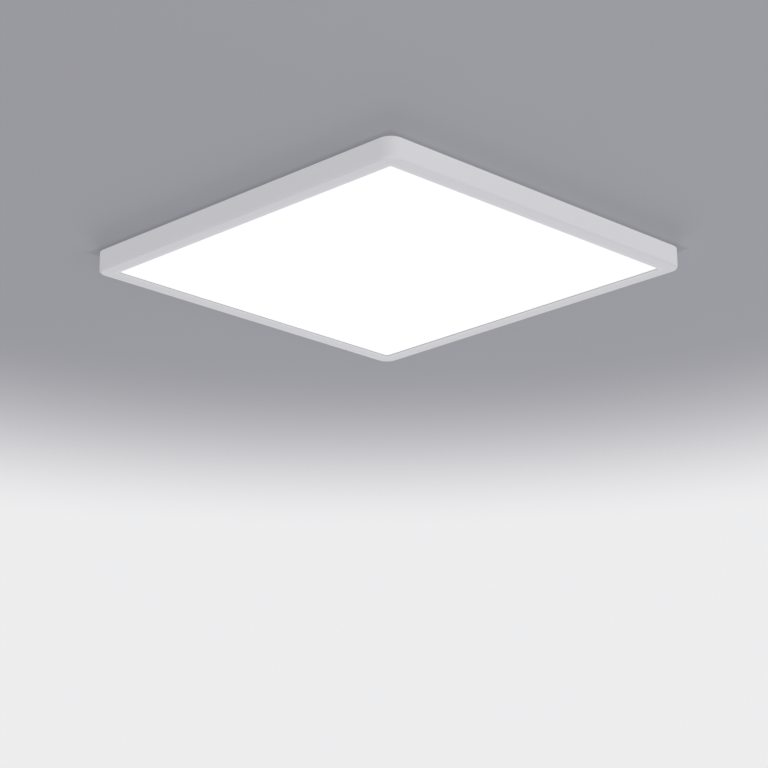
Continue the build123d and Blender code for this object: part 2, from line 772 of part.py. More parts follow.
export_step(terminal_cover.part, "parts/terminal_cover.step")

with BuildPart() as terminal_hinge_pin:
    add(lying_cylinder(hinge_x, terminal_y, hinge_z, hinge_pin_radius, pin_length))
terminal_hinge_pin.part.label = "terminal_hinge_pin"
export_step(terminal_hinge_pin.part, "parts/terminal_hinge_pin.step")

with BuildPart() as cord_clamp:
    with Locations((clamp_x, terminal_y, clamp_bottom)):
        Box(clamp_width, clamp_length, clamp_thickness, align=ON_TOP)
    fillet(cord_clamp.edges().filter_by(Axis.Z), clamp_width / 4)
    with BuildSketch(Plane.YZ.offset(clamp_x - clamp_width)):
        with Locations((terminal_y, clamp_bottom - saddle_length / 2)):
            Circle(saddle_length / 2 + clamp_thickness / 3)
    extrude(amount=2 * clamp_width, mode=Mode.SUBTRACT)
    with Locations(*[(x, y, clamp_bottom) for x, y in clamp_row_places]):
        Cylinder(small_screw_radius + screw_hole_slack, clamp_thickness, align=ON_TOP, mode=Mode.SUBTRACT)
cord_clamp.part.label = "cord_clamp"
export_step(cord_clamp.part, "parts/cord_clamp.step")

with BuildPart() as cord_clamp_screws:
    with Locations(*[(x, y, clamp_bottom + clamp_thickness) for x, y in clamp_row_places]):
        add(pan_screw(small_screw_head, small_screw_head_height, small_screw_radius, clamp_screw_length))
cord_clamp_screws.part.label = "cord_clamp_screws"
export_step(cord_clamp_screws.part, "parts/cord_clamp_screws.step")

with BuildPart() as terminal_screws:
    with Locations(*[(x, y, terminal_floor_top) for x, y in terminal_screw_places]):
        add(pan_screw(chassis_screw_head, chassis_screw_head_height, chassis_screw_radius,
                      terminal_floor + chassis_sheet + screw_below_chassis))
terminal_screws.part.label = "terminal_screws"
export_step(terminal_screws.part, "parts/terminal_screws.step")

# ----- Terminal block -----

with BuildPart() as terminal_block:
    with Locations((block_x, terminal_y, terminal_floor_top)):
        Box(block_width, block_length, block_top - terminal_floor_top, align=ON_TOP)
    fillet(terminal_block.edges().filter_by(Axis.Z), block_roof / 2)
    for row in pole_rows:
        with Locations((chamber_left, row, terminal_floor_top)):
            Box(chamber_right - chamber_left, chamber_width, chamber_roof - terminal_floor_top,
                align=(Align.MIN, Align.CENTER, Align.MIN), mode=Mode.SUBTRACT)
        with Locations((button_x, row, chamber_roof)):
            Box(button_size_x + 2 * button_side_gap, button_size_y + 2 * button_side_gap, 2 * block_roof,
                align=ON_TOP, mode=Mode.SUBTRACT)
        with Locations((block_right, row, contact_bottom - entry_size / 2)):
            Box(3 * chamber_wall, entry_size, entry_size, mode=Mode.SUBTRACT)
        with BuildSketch(Plane.YZ.offset(block_left - block_wall)):
            with Locations((row, mains_lead_z)):
                Circle(mains_lead_radius + 2 * lead_gap)
        extrude(amount=3 * block_wall, mode=Mode.SUBTRACT)
terminal_block.part.label = "terminal_block"
export_step(terminal_block.part, "parts/terminal_block.step")

contact_right = button_x - button_size_x / 2 - button_shoulder - contact_gap

with BuildPart() as terminal_contacts:
    with Locations(*[(chamber_left + contact_gap, row, contact_bottom) for row in pole_rows]):
        Box(contact_right - chamber_left - contact_gap, chamber_width - 2 * contact_gap, contact_thickness,
            align=(Align.MIN, Align.CENTER, Align.MIN))
terminal_contacts.part.label = "terminal_contacts"
export_step(terminal_contacts.part, "parts/terminal_contacts.step")

prong_bottom = chamber_roof - contact_gap / 2 - button_shoulder_height - prong_length
spring_floor = terminal_floor_top + spring_thickness / 2
spring_tip_z = prong_bottom - spring_gap - spring_thickness / 2
spring_back = chamber_left + spring_bend / 2


def clamp_spring(row):
    """A leaf spring: one leg on the floor of its chamber, one leg rising to the button's prongs."""
    with BuildPart() as spring:
        with BuildSketch(Plane.XZ.offset(-row)):
            with BuildLine():
                FilletPolyline(
                    (chamber_right - spring_end_gap, spring_floor),
                    (spring_back, spring_floor),
                    (spring_back, spring_floor + 2 * spring_bend),
                    (button_x + button_size_x / 2, spring_tip_z),
                    radius=spring_bend * 0.8,
                )
            trace(line_width=spring_thickness)
        extrude(amount=chamber_width / 2 - contact_gap, both=True)
    return spring.part


with BuildPart() as live_clamp_spring:
    add(clamp_spring(pole_rows[0]))
live_clamp_spring.part.label = "live_clamp_spring"
export_step(live_clamp_spring.part, "parts/live_clamp_spring.step")

with BuildPart() as neutral_clamp_spring:
    add(clamp_spring(pole_rows[1]))
neutral_clamp_spring.part.label = "neutral_clamp_spring"
export_step(neutral_clamp_spring.part, "parts/neutral_clamp_spring.step")

with BuildPart() as earth_clamp_spring:
    add(clamp_spring(pole_rows[2]))
earth_clamp_spring.part.label = "earth_clamp_spring"
export_step(earth_clamp_spring.part, "parts/earth_clamp_spring.step")


def release_button(row):
    """A release button: its head stands out of the block and its two prongs straddle the wire."""
    shoulder_top = chamber_roof - contact_gap / 2
    with BuildPart() as button:
        with Locations((button_x, row, shoulder_top)):
            Box(button_size_x, button_size_y, button_top - shoulder_top, align=ON_TOP)
            fillet(button.faces().sort_by(Axis.Z)[-1].edges(), button_size_x / 8)
            Box(button_size_x + 2 * button_shoulder, button_size_y, button_shoulder_height, align=BELOW)
        for side in (-1, 1):
            prong_y = row + side * (button_size_y - prong_thickness) / 2
            with Locations((button_x, prong_y, shoulder_top - button_shoulder_height)):
                Box(button_size_x, prong_thickness, prong_length, align=BELOW)
    return button.part


with BuildPart() as live_button:
    add(release_button(pole_rows[0]))
live_button.part.label = "live_button"
export_step(live_button.part, "parts/live_button.step")

with BuildPart() as neutral_button:
    add(release_button(pole_rows[1]))
neutral_button.part.label = "neutral_button"
export_step(neutral_button.part, "parts/neutral_button.step")

with BuildPart() as earth_button:
    add(release_button(pole_rows[2]))
earth_button.part.label = "earth_button"
export_step(earth_button.part, "parts/earth_button.step")

# ----- Driver case -----

driver_floor_top = chassis_top + driver_floor
driver_top = -driver_headroom
driver_rim = driver_top - driver_lid
circuit_top = mains_lead_z - mains_lead_radius - board_to_lead
circuit_bottom = circuit_top - circuit_thickness
standoff_height = circuit_bottom - driver_floor_top
tall_part = driver_rim - circuit_top - tall_part_gap
driver_front = driver_y - driver_length / 2
driver_rear = driver_y + driver_length / 2
driver_inner_width = driver_width - 2 * driver_wall
driver_inner_length = driver_length - 2 * driver_wall
standoff_places = [(driver_x + a * standoff_x, driver_y + b * standoff_y) for a in (-1, 1) for b in (-1, 1)]
input_notch_middle = (lead_turns[0] + lead_turns[1]) / 2
input_notch_width = mains_lead_pitch + 2 * (mains_lead_radius + lead_side_gap)
panel_notch_width = 2 * (panel_lead_half_pitch + panel_lead_radius + lead_side_gap)

with BuildPart() as driver_base:
    with BuildSketch(Plane.XY.offset(chassis_top)):
        with Locations((driver_x, driver_y)):
            RectangleRounded(driver_width, driver_length, driver_corner_radius)
    extrude(amount=driver_rim - chassis_top)
    with BuildSketch(Plane.XY.offset(driver_floor_top)):
        with Locations((driver_x, driver_y)):
            Rectangle(driver_inner_width, driver_inner_length)
    extrude(amount=driver_rim - driver_floor_top, mode=Mode.SUBTRACT)
    with Locations(*[(x, y, chassis_top) for x, y in driver_screw_places]):
        Box(driver_ear_width, driver_ear_length, driver_ear_thickness, align=ON_TOP)
        Cylinder(chassis_screw_radius + screw_hole_slack, driver_ear_thickness, align=ON_TOP,
                 mode=Mode.SUBTRACT)
    with Locations(*[(x, y, driver_floor_top) for x, y in standoff_places]):
        Cylinder(standoff_radius, standoff_height, align=ON_TOP)
        Cylinder(small_screw_radius + screw_fit, standoff_height, align=ON_TOP, mode=Mode.SUBTRACT)
    with Locations((input_notch_middle, driver_front, circuit_top)):
        Box(input_notch_width, 3 * driver_wall, driver_rim - circuit_top, align=ON_TOP, mode=Mode.SUBTRACT)
    with Locations((panel_lead_x, driver_rear, circuit_top)):
        Box(panel_notch_width, 3 * driver_wall, driver_rim - circuit_top, align=ON_TOP, mode=Mode.SUBTRACT)
driver_base.part.label = "driver_base"
export_step(driver_base.part, "parts/driver_base.step")

with BuildPart() as driver_cover:
    with BuildSketch(Plane.XY.offset(driver_rim)):
        with Locations((driver_x, driver_y)):
            RectangleRounded(driver_width, driver_length, driver_corner_radius)
    extrude(amount=driver_lid)
    fillet(driver_cover.faces().sort_by(Axis.Z)[-1].edges(), driver_lid / 2)
    with BuildSketch(Plane.XY.offset(driver_rim)):
        with Locations((driver_x, driver_y)):
            Rectangle(driver_inner_width - 2 * lid_rim_fit, driver_inner_length - 2 * lid_rim_fit)
            Rectangle(driver_inner_width - 2 * lid_rim_fit - 2 * lid_rim_thickness,
                      driver_inner_length - 2 * lid_rim_fit - 2 * lid_rim_thickness, mode=Mode.SUBTRACT)
    extrude(amount=-lid_rim_depth)
driver_cover.part.label = "driver_cover"
export_step(driver_cover.part, "parts/driver_cover.step")

with BuildPart() as driver_screws:
    with Locations(*[(x, y, chassis_top + driver_ear_thickness) for x, y in driver_screw_places]):
        add(pan_screw(chassis_screw_head, chassis_screw_head_height, chassis_screw_radius,
                      driver_ear_thickness + chassis_sheet + screw_below_chassis))
driver_screws.part.label = "driver_screws"
export_step(driver_screws.part, "parts/driver_screws.step")

with BuildPart() as driver_board:
    with BuildSketch(Plane.XY.offset(circuit_bottom)):
        with Locations((driver_x, driver_y)):
            Rectangle(driver_inner_width - 2 * circuit_gap, driver_inner_length - 2 * circuit_gap)
        with Locations(*standoff_places):
            Circle(small_screw_radius + screw_hole_slack, mode=Mode.SUBTRACT)
    extrude(amount=circuit_thickness)
driver_board.part.label = "driver_board"
export_step(driver_board.part, "parts/driver_board.step")

with BuildPart() as driver_board_screws:
    with Locations(*[(x, y, circuit_top) for x, y in standoff_places]):
        add(pan_screw(small_screw_head, small_screw_head_height, small_screw_radius,
                      circuit_thickness + standoff_height - screw_fit))
driver_board_screws.part.label = "driver_board_screws"
export_step(driver_board_screws.part, "parts/driver_board_screws.step")

# ----- Driver components, placed from the driver's middle -----


def on_board(across, along):
    """The place on the circuit board's upper face, across its width and along its length."""
    return (driver_x + across, driver_y + along, circuit_top)


fuse_x = driver_x + fuse_place[0]
fuse_y = driver_y + fuse_place[1]
fuse_z = circuit_top + fuse_radius
with BuildPart() as driver_fuse:
    add(lying_cylinder(fuse_x, fuse_y, fuse_z, fuse_radius - fuse_cap_step, fuse_length))
    for end in (-1, 1):
        cap_y = fuse_y + end * (fuse_length - fuse_cap_length) / 2
        add(lying_cylinder(fuse_x, cap_y, fuse_z, fuse_radius, fuse_cap_length))
driver_fuse.part.label = "driver_fuse"
export_step(driver_fuse.part, "parts/driver_fuse.step")

with BuildPart() as driver_varistor:
    add(lying_cylinder(driver_x + varistor_place[0], driver_y + varistor_place[1],
                       circuit_top + tall_part / 2, tall_part / 2, varistor_thickness))
    fillet(driver_varistor.edges().filter_by(GeomType.CIRCLE), varistor_thickness / 4)
driver_varistor.part.label = "driver_varistor"
export_step(driver_varistor.part, "parts/driver_varistor.step")

with BuildPart() as driver_film_capacitor:
    with Locations(on_board(*film_capacitor_place)):
        add(circuit_box(*film_capacitor_size, tall_part, 2 * component_edge))
driver_film_capacitor.part.label = "driver_film_capacitor"
export_step(driver_film_capacitor.part, "parts/driver_film_capacitor.step")

choke_x, choke_y, choke_floor = on_board(*choke_place)
choke_bottom = choke_floor + winding_build + winding_gap
with BuildPart() as driver_choke_core:
    with Locations((choke_x, choke_y, choke_bottom)):
        Cylinder(choke_outer, choke_height, align=ON_TOP)
        Cylinder(choke_inner, choke_height, align=ON_TOP, mode=Mode.SUBTRACT)
driver_choke_core.part.label = "driver_choke_core"
export_step(driver_choke_core.part, "parts/driver_choke_core.step")

choke_ring = choke_outer - choke_inner
with BuildPart() as choke_winding:
    with BuildSketch(Plane.XZ):
        with Locations(((choke_outer + choke_inner) / 2, choke_height / 2)):
            Rectangle(choke_ring + 2 * (winding_build + winding_gap),
                      choke_height + 2 * (winding_build + winding_gap))
            Rectangle(choke_ring + 2 * winding_gap, choke_height + 2 * winding_gap, mode=Mode.SUBTRACT)
    revolve(axis=Axis.Z, revolution_arc=winding_arc)
with BuildPart() as driver_choke_windings:
    with Locations((choke_x, choke_y, choke_bottom)):
        add(choke_winding.part, rotation=(0, 0, -winding_arc / 2))
        add(choke_winding.part, rotation=(0, 0, 180 - winding_arc / 2))
driver_choke_windings.part.label = "driver_choke_windings"
export_step(driver_choke_windings.part, "parts/driver_choke_windings.step")

with BuildPart() as driver_semiconductors:
    with Locations(on_board(*rectifier_place)):
        add(circuit_box(*rectifier_size, component_edge))
    with Locations(*[on_board(*place) for place in power_device_places]):
        add(circuit_box(*power_device_size, component_edge))
    with Locations(*[on_board(*place) for place in small_chip_places]):
        add(circuit_box(*small_chip_size, component_edge))
driver_semiconductors.part.label = "driver_semiconductors"
export_step(driver_semiconductors.part, "parts/driver_semiconductors.step")

core_window_width = core_width - 2 * core_leg
core_window_length = core_length - 2 * core_yoke
with BuildPart() as transformer_core:
    with Locations(on_board(*transformer_place)):
        Box(core_width, core_length, tall_part, align=ON_TOP)
    fillet(transformer_core.edges().filter_by(Axis.Z), 2 * component_edge)
    with Locations(on_board(*transformer_place)):
        Box(core_window_width, core_window_length, tall_part, align=ON_TOP, mode=Mode.SUBTRACT)
transformer_core.part.label = "transformer_core"
export_step(transformer_core.part, "parts/transformer_core.step")

with BuildPart() as transformer_winding:
    with Locations(on_board(*transformer_place)):
        add(circuit_box(core_window_width - 2 * core_gap, core_window_length - 2 * core_gap,
                        tall_part - core_gap, winding_corner))
transformer_winding.part.label = "transformer_winding"
export_step(transformer_winding.part, "parts/transformer_winding.step")

with BuildPart() as electrolytic_capacitors:
    for across, along in capacitor_places:
        add(lying_cylinder(driver_x + across, driver_y + along, circuit_top + tall_part / 2, tall_part / 2,
                           capacitor_length))
    fillet(electrolytic_capacitors.edges().filter_by(GeomType.CIRCLE), 2 * component_edge)
electrolytic_capacitors.part.label = "electrolytic_capacitors"
export_step(electrolytic_capacitors.part, "parts/electrolytic_capacitors.step")

# ----- Earth point -----

with BuildPart() as earth_lug:
    with Locations((lug_x, lug_y, chassis_top)):
        Cylinder(lug_radius, lug_thickness, align=ON_TOP)
    with Locations((lug_x - lug_radius, lug_y, chassis_top)):
        Box(lug_radius, 2 * lug_barrel_radius, lug_thickness, align=ON_TOP)
    with BuildSketch(Plane.YZ.offset(lug_x - lug_radius - lug_barrel_length)):
        with Locations((lug_y, chassis_top + lug_barrel_radius)):
            Circle(lug_barrel_radius)
    extrude(amount=lug_barrel_length)
    with BuildSketch(Plane.YZ.offset(lug_x - lug_radius - lug_barrel_length)):
        with Locations((lug_y, chassis_top + lug_barrel_radius)):
            Circle(mains_lead_radius + lead_gap)
    extrude(amount=lug_barrel_length, mode=Mode.SUBTRACT)
    with Locations((lug_x, lug_y, chassis_top)):
        Cylinder(earth_screw_radius + screw_fit, lug_thickness, align=ON_TOP, mode=Mode.SUBTRACT)
earth_lug.part.label = "earth_lug"
export_step(earth_lug.part, "parts/earth_lug.step")

with BuildPart() as earth_washer:
    with Locations((lug_x, lug_y, chassis_top + lug_thickness)):
        Cylinder(earth_screw_head, earth_washer_thickness, align=ON_TOP)
        Cylinder(earth_screw_radius + screw_fit, earth_washer_thickness, align=ON_TOP, mode=Mode.SUBTRACT)
earth_washer.part.label = "earth_washer"
export_step(earth_washer.part, "parts/earth_washer.step")

with BuildPart() as earth_screw:
    with Locations((lug_x, lug_y, chassis_top + lug_thickness + earth_washer_thickness)):
        add(pan_screw(earth_screw_head, earth_screw_head_height, earth_screw_radius,
                      lug_thickness + earth_washer_thickness + chassis_sheet + screw_below_chassis))
earth_screw.part.label = "earth_screw"
export_step(earth_screw.part, "parts/earth_screw.step")

# ----- Mains leads -----

lead_start = chamber_left + lead_under_contact
driver_lead_end = driver_front + driver_wall + circuit_gap + lead_in_driver
lug_mouth_x = lug_x - lug_radius - lead_in_lug
lug_lead_z = chassis_top + lug_barrel_radius

with BuildPart() as live_lead:
    add(round_lead(
        [
            (lead_start, pole_rows[0], mains_lead_z),
            (lead_turns[0], pole_rows[0], mains_lead_z),
            (lead_turns[0], driver_lead_end, mains_lead_z),
        ],
        [mains_lead_bend],
        mains_lead_radius,
    ))
live_lead.part.label = "live_lead"
export_step(live_lead.part, "parts/live_lead.step")

with BuildPart() as neutral_lead:
    add(round_lead(
        [
            (lead_start, pole_rows[1], mains_lead_z),
            (lead_turns[1], pole_rows[1], mains_lead_z),
            (lead_turns[1], driver_lead_end, mains_lead_z),
        ],
        [mains_lead_bend],
        mains_lead_radius,
    ))
neutral_lead.part.label = "neutral_lead"
export_step(neutral_lead.part, "parts/neutral_lead.step")

with BuildPart() as earth_lead:
    add(round_lead(
        [
            (lead_start, pole_rows[2], mains_lead_z),
            (lead_turns[2], pole_rows[2], mains_lead_z),
            (lead_turns[2], terminal_rear - lead_in_box, mains_lead_z),
            (lead_turns[2], lug_y, lug_lead_z),
            (lug_mouth_x, lug_y, lug_lead_z),
        ],
        [mains_lead_bend, mains_lead_bend, mains_lead_bend],
        mains_lead_radius,
    ))
earth_lead.part.label = "earth_lead"
export_step(earth_lead.part, "parts/earth_lead.step")

# ----- Panel leads: side by side from the driver to the corner grommet, then down to the strips -----

lead_on_board = circuit_top + panel_lead_radius + lead_gap
lead_on_chassis = chassis_top + panel_lead_radius + lead_gap
lead_over_grommet = chassis_top + grommet_flange_thickness + panel_lead_rise
jumper_bend_start = jumper_line - jumper_bend
grommet_x, grommet_y = grommet_place


def panel_lead(offset, last_points):
    """One of the two panel leads, offset sideways from their common route."""
    diagonal = offset / sqrt(2)
    corner_shift = offset * (sqrt(2) - 1)
    drop_x = grommet_x + diagonal
    drop_y = grommet_y + diagonal
    return round_lead(
        [
            (panel_lead_x + offset, driver_rear - lead_in_driver, lead_on_board),
            (panel_lead_x + offset, driver_rear + driver_wall, lead_on_board),
            (panel_lead_x + offset, driver_rear + panel_lead_slope, lead_on_chassis),
            (panel_lead_x + offset, lead_row + offset, lead_on_chassis),
            (diagonal_start + corner_shift, lead_row + offset, lead_on_chassis),
            (drop_x + panel_lead_slope, drop_y - panel_lead_slope, lead_on_chassis),
            (drop_x, drop_y, lead_over_grommet),
            (drop_x, drop_y, light_height),
            *last_points,
        ],
        2 * [slope_bend] + 2 * [panel_lead_bend] + [slope_bend] + 3 * [drop_bend],
        panel_lead_radius,
    )


with BuildPart() as positive_lead:
    add(panel_lead(
        -panel_lead_half_pitch,
        [(-jumper_line, jumper_bend_start, light_height), (-jumper_line, jumper_start, light_height)],
    ))
positive_lead.part.label = "positive_lead"
export_step(positive_lead.part, "parts/positive_lead.step")

with BuildPart() as negative_lead:
    add(panel_lead(
        panel_lead_half_pitch,
        [(-jumper_bend_start, jumper_line, light_height), (-jumper_start, jumper_line, light_height)],
    ))
negative_lead.part.label = "negative_lead"
export_step(negative_lead.part, "parts/negative_lead.step")

with BuildPart() as lead_grommet:
    with Locations((grommet_x, grommet_y, foam_top)):
        Cylinder(grommet_radius, chassis_sheet, align=ON_TOP)
        Cylinder(grommet_flange, grommet_flange_thickness, align=BELOW)
    with Locations((grommet_x, grommet_y, chassis_top)):
        Cylinder(grommet_flange, grommet_flange_thickness, align=ON_TOP)
        Cylinder(grommet_bore, 4 * chassis_sheet + 2 * grommet_flange_thickness, mode=Mode.SUBTRACT)
lead_grommet.part.label = "lead_grommet"
export_step(lead_grommet.part, "parts/lead_grommet.step")

channel_width = 2 * (panel_lead_half_pitch + panel_lead_radius + lead_gap)
channel_height = 2 * (panel_lead_radius + lead_gap)
with BuildPart() as one_clip:
    Box(clip_length, clip_width, clip_height, align=ON_TOP)
    fillet(one_clip.edges().filter_by(Axis.X).group_by(Axis.Z)[-1], clip_height / 2)
    Box(2 * clip_length, channel_width, channel_height, align=ON_TOP, mode=Mode.SUBTRACT)
with BuildPart() as lead_clips:
    with Locations(
        Location((panel_lead_x, lead_row - clip_from_corner, chassis_top), (0, 0, 90)),
        Location((panel_lead_x - clip_from_corner, lead_row, chassis_top)),
        Location((diagonal_start + clip_from_corner, lead_row, chassis_top)),
        Location((diagonal_start - clip_from_corner, lead_row + clip_from_corner, chassis_top), (0, 0, 135)),
    ):
        add(one_clip.part)
lead_clips.part.label = "lead_clips"
export_step(lead_clips.part, "parts/lead_clips.step")
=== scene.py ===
"""A square flush ceiling lamp: its looks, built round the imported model."""

import logging
import math
from collections.abc import Callable, Iterable, Sequence
from dataclasses import dataclass, field
from enum import Enum
from typing import Any, ClassVar

import bmesh
import bpy
from mathutils import Matrix, Vector
from mathutils.geometry import delaunay_2d_cdt


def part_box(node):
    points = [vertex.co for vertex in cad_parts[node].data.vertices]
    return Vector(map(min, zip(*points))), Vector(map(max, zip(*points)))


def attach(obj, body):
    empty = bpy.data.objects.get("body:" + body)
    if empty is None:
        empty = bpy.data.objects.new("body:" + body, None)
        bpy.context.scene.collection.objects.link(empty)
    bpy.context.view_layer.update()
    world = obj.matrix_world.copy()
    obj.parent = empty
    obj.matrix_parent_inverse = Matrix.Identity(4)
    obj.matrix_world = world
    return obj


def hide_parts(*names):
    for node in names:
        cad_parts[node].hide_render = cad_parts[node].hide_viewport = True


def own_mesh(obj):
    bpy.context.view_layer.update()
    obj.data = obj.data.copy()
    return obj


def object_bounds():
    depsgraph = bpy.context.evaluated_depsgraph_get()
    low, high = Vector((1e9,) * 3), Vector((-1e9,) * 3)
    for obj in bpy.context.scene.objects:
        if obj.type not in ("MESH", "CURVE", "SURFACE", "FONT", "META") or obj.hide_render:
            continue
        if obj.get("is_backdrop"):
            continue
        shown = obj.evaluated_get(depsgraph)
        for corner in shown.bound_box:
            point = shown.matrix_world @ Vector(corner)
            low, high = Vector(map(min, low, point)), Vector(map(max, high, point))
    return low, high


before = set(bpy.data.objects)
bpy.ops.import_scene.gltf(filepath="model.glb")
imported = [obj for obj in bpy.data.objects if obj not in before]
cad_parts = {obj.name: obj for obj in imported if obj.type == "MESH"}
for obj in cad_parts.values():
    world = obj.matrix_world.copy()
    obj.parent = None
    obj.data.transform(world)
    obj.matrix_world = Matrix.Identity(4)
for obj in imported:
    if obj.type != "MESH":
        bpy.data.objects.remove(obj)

log = logging.getLogger("lamp")

Colour = tuple[float, float, float]
Point = tuple[float, float, float]
Socket = bpy.types.NodeSocket


class Bump(Enum):
    """How strongly a surface's relief shows."""

    FAINT = 0.25
    SOFT = 0.5
    FULL = 1.0


class Sector(Enum):
    """The two halves of the choke's winding, by the angle of their middle."""

    RIGHT = 0.0
    LEFT = 180.0


class Effect(Enum):
    """The shared surface effects, by the names of their node groups."""

    GRAIN = "moulded_grain"
    EDGES = "rubbed_edges"
    DUST = "settled_dust"
    ROLLED = "rolled_lines"
    CELLS = "plated_cells"


# ----- Node graphs -----


class Graph:
    """A node tree that is filled one node at a time."""

    def __init__(self, tree: bpy.types.NodeTree) -> None:
        """Takes the tree to fill."""
        self.tree = tree

    def add(self, kind: str, inputs: dict[Any, Any] | None = None, **settings: Any) -> bpy.types.Node:
        """Adds one node.

        Args:
            kind: the node's type name, without its ShaderNode prefix.
            inputs: socket name or index to a value, or to the socket that feeds it.
            settings: the node's own properties.

        Returns:
            The new node.
        """
        node = self.tree.nodes.new("ShaderNode" + kind)
        for key, value in settings.items():
            setattr(node, key, value)
        for key, value in (inputs or {}).items():
            if isinstance(value, Socket):
                self.tree.links.new(value, node.inputs[key])
            else:
                node.inputs[key].default_value = value
        return node

    def place(self) -> Socket:
        """Returns the object coordinates, in metres."""
        return self.add("TexCoord").outputs["Object"]

    def sum(self, operation: str, first: Any, second: Any = 0.0, third: Any = 0.0) -> Socket:
        """Returns one arithmetic step between two or three values or sockets."""
        return self.add("Math", {0: first, 1: second, 2: third}, operation=operation).outputs[0]

    def spread(self, value: Socket, low: float, high: float, start: float, end: float) -> Socket:
        """Maps a value's range onto another one, and clamps it.

        Args:
            value: the socket to map.
            low: the value that becomes start.
            high: the value that becomes end.
            start: the result at low.
            end: the result at high.

        Returns:
            The mapped socket.
        """
        names = {"Value": value, "From Min": low, "From Max": high, "To Min": start, "To Max": end}
        return self.add("MapRange", names, clamp=True).outputs["Result"]

    def blend(self, mask: Socket, under: Any, over: Any) -> Socket:
        """Returns a colour that goes from under to over as the mask goes from 0 to 1."""
        node = self.add("Mix", {0: mask, 6: as_rgba(under), 7: as_rgba(over)}, data_type="RGBA")
        return node.outputs[2]

    def noise(self, scale: Any, detail: float = 2.0, vector: Socket | None = None) -> Socket:
        """Returns a smooth noise value at that scale."""
        inputs = {"Vector": vector or self.place(), "Scale": scale, "Detail": detail}
        return self.add("TexNoise", inputs).outputs["Fac"]

    def stretched(self, stretch: Point) -> Socket:
        """Returns object coordinates with each axis scaled by its own factor."""
        return self.add("Mapping", {"Vector": self.place(), "Scale": stretch}).outputs["Vector"]

    def axis(self, name: str, vector: Socket | None = None) -> Socket:
        """Returns the X, Y or Z part of a vector, the object coordinates by default."""
        return self.add("SeparateXYZ", {0: vector or self.place()}).outputs[name]

    def outward(self) -> Socket:
        """Returns the distance from the part's middle along X or Y, whichever is greater."""
        across, along = [self.sum("ABSOLUTE", self.axis(name)) for name in "XY"]
        return self.sum("MAXIMUM", across, along)


def as_rgba(colour: Any) -> Any:
    """Returns a colour with its alpha added, or a socket as it is."""
    return colour if isinstance(colour, Socket) else (*colour, 1.0)


def shade(colour: Colour, factor: float) -> Colour:
    """Returns a colour made darker or lighter by a factor."""
    return tuple(min(1.0, part * factor) for part in colour)


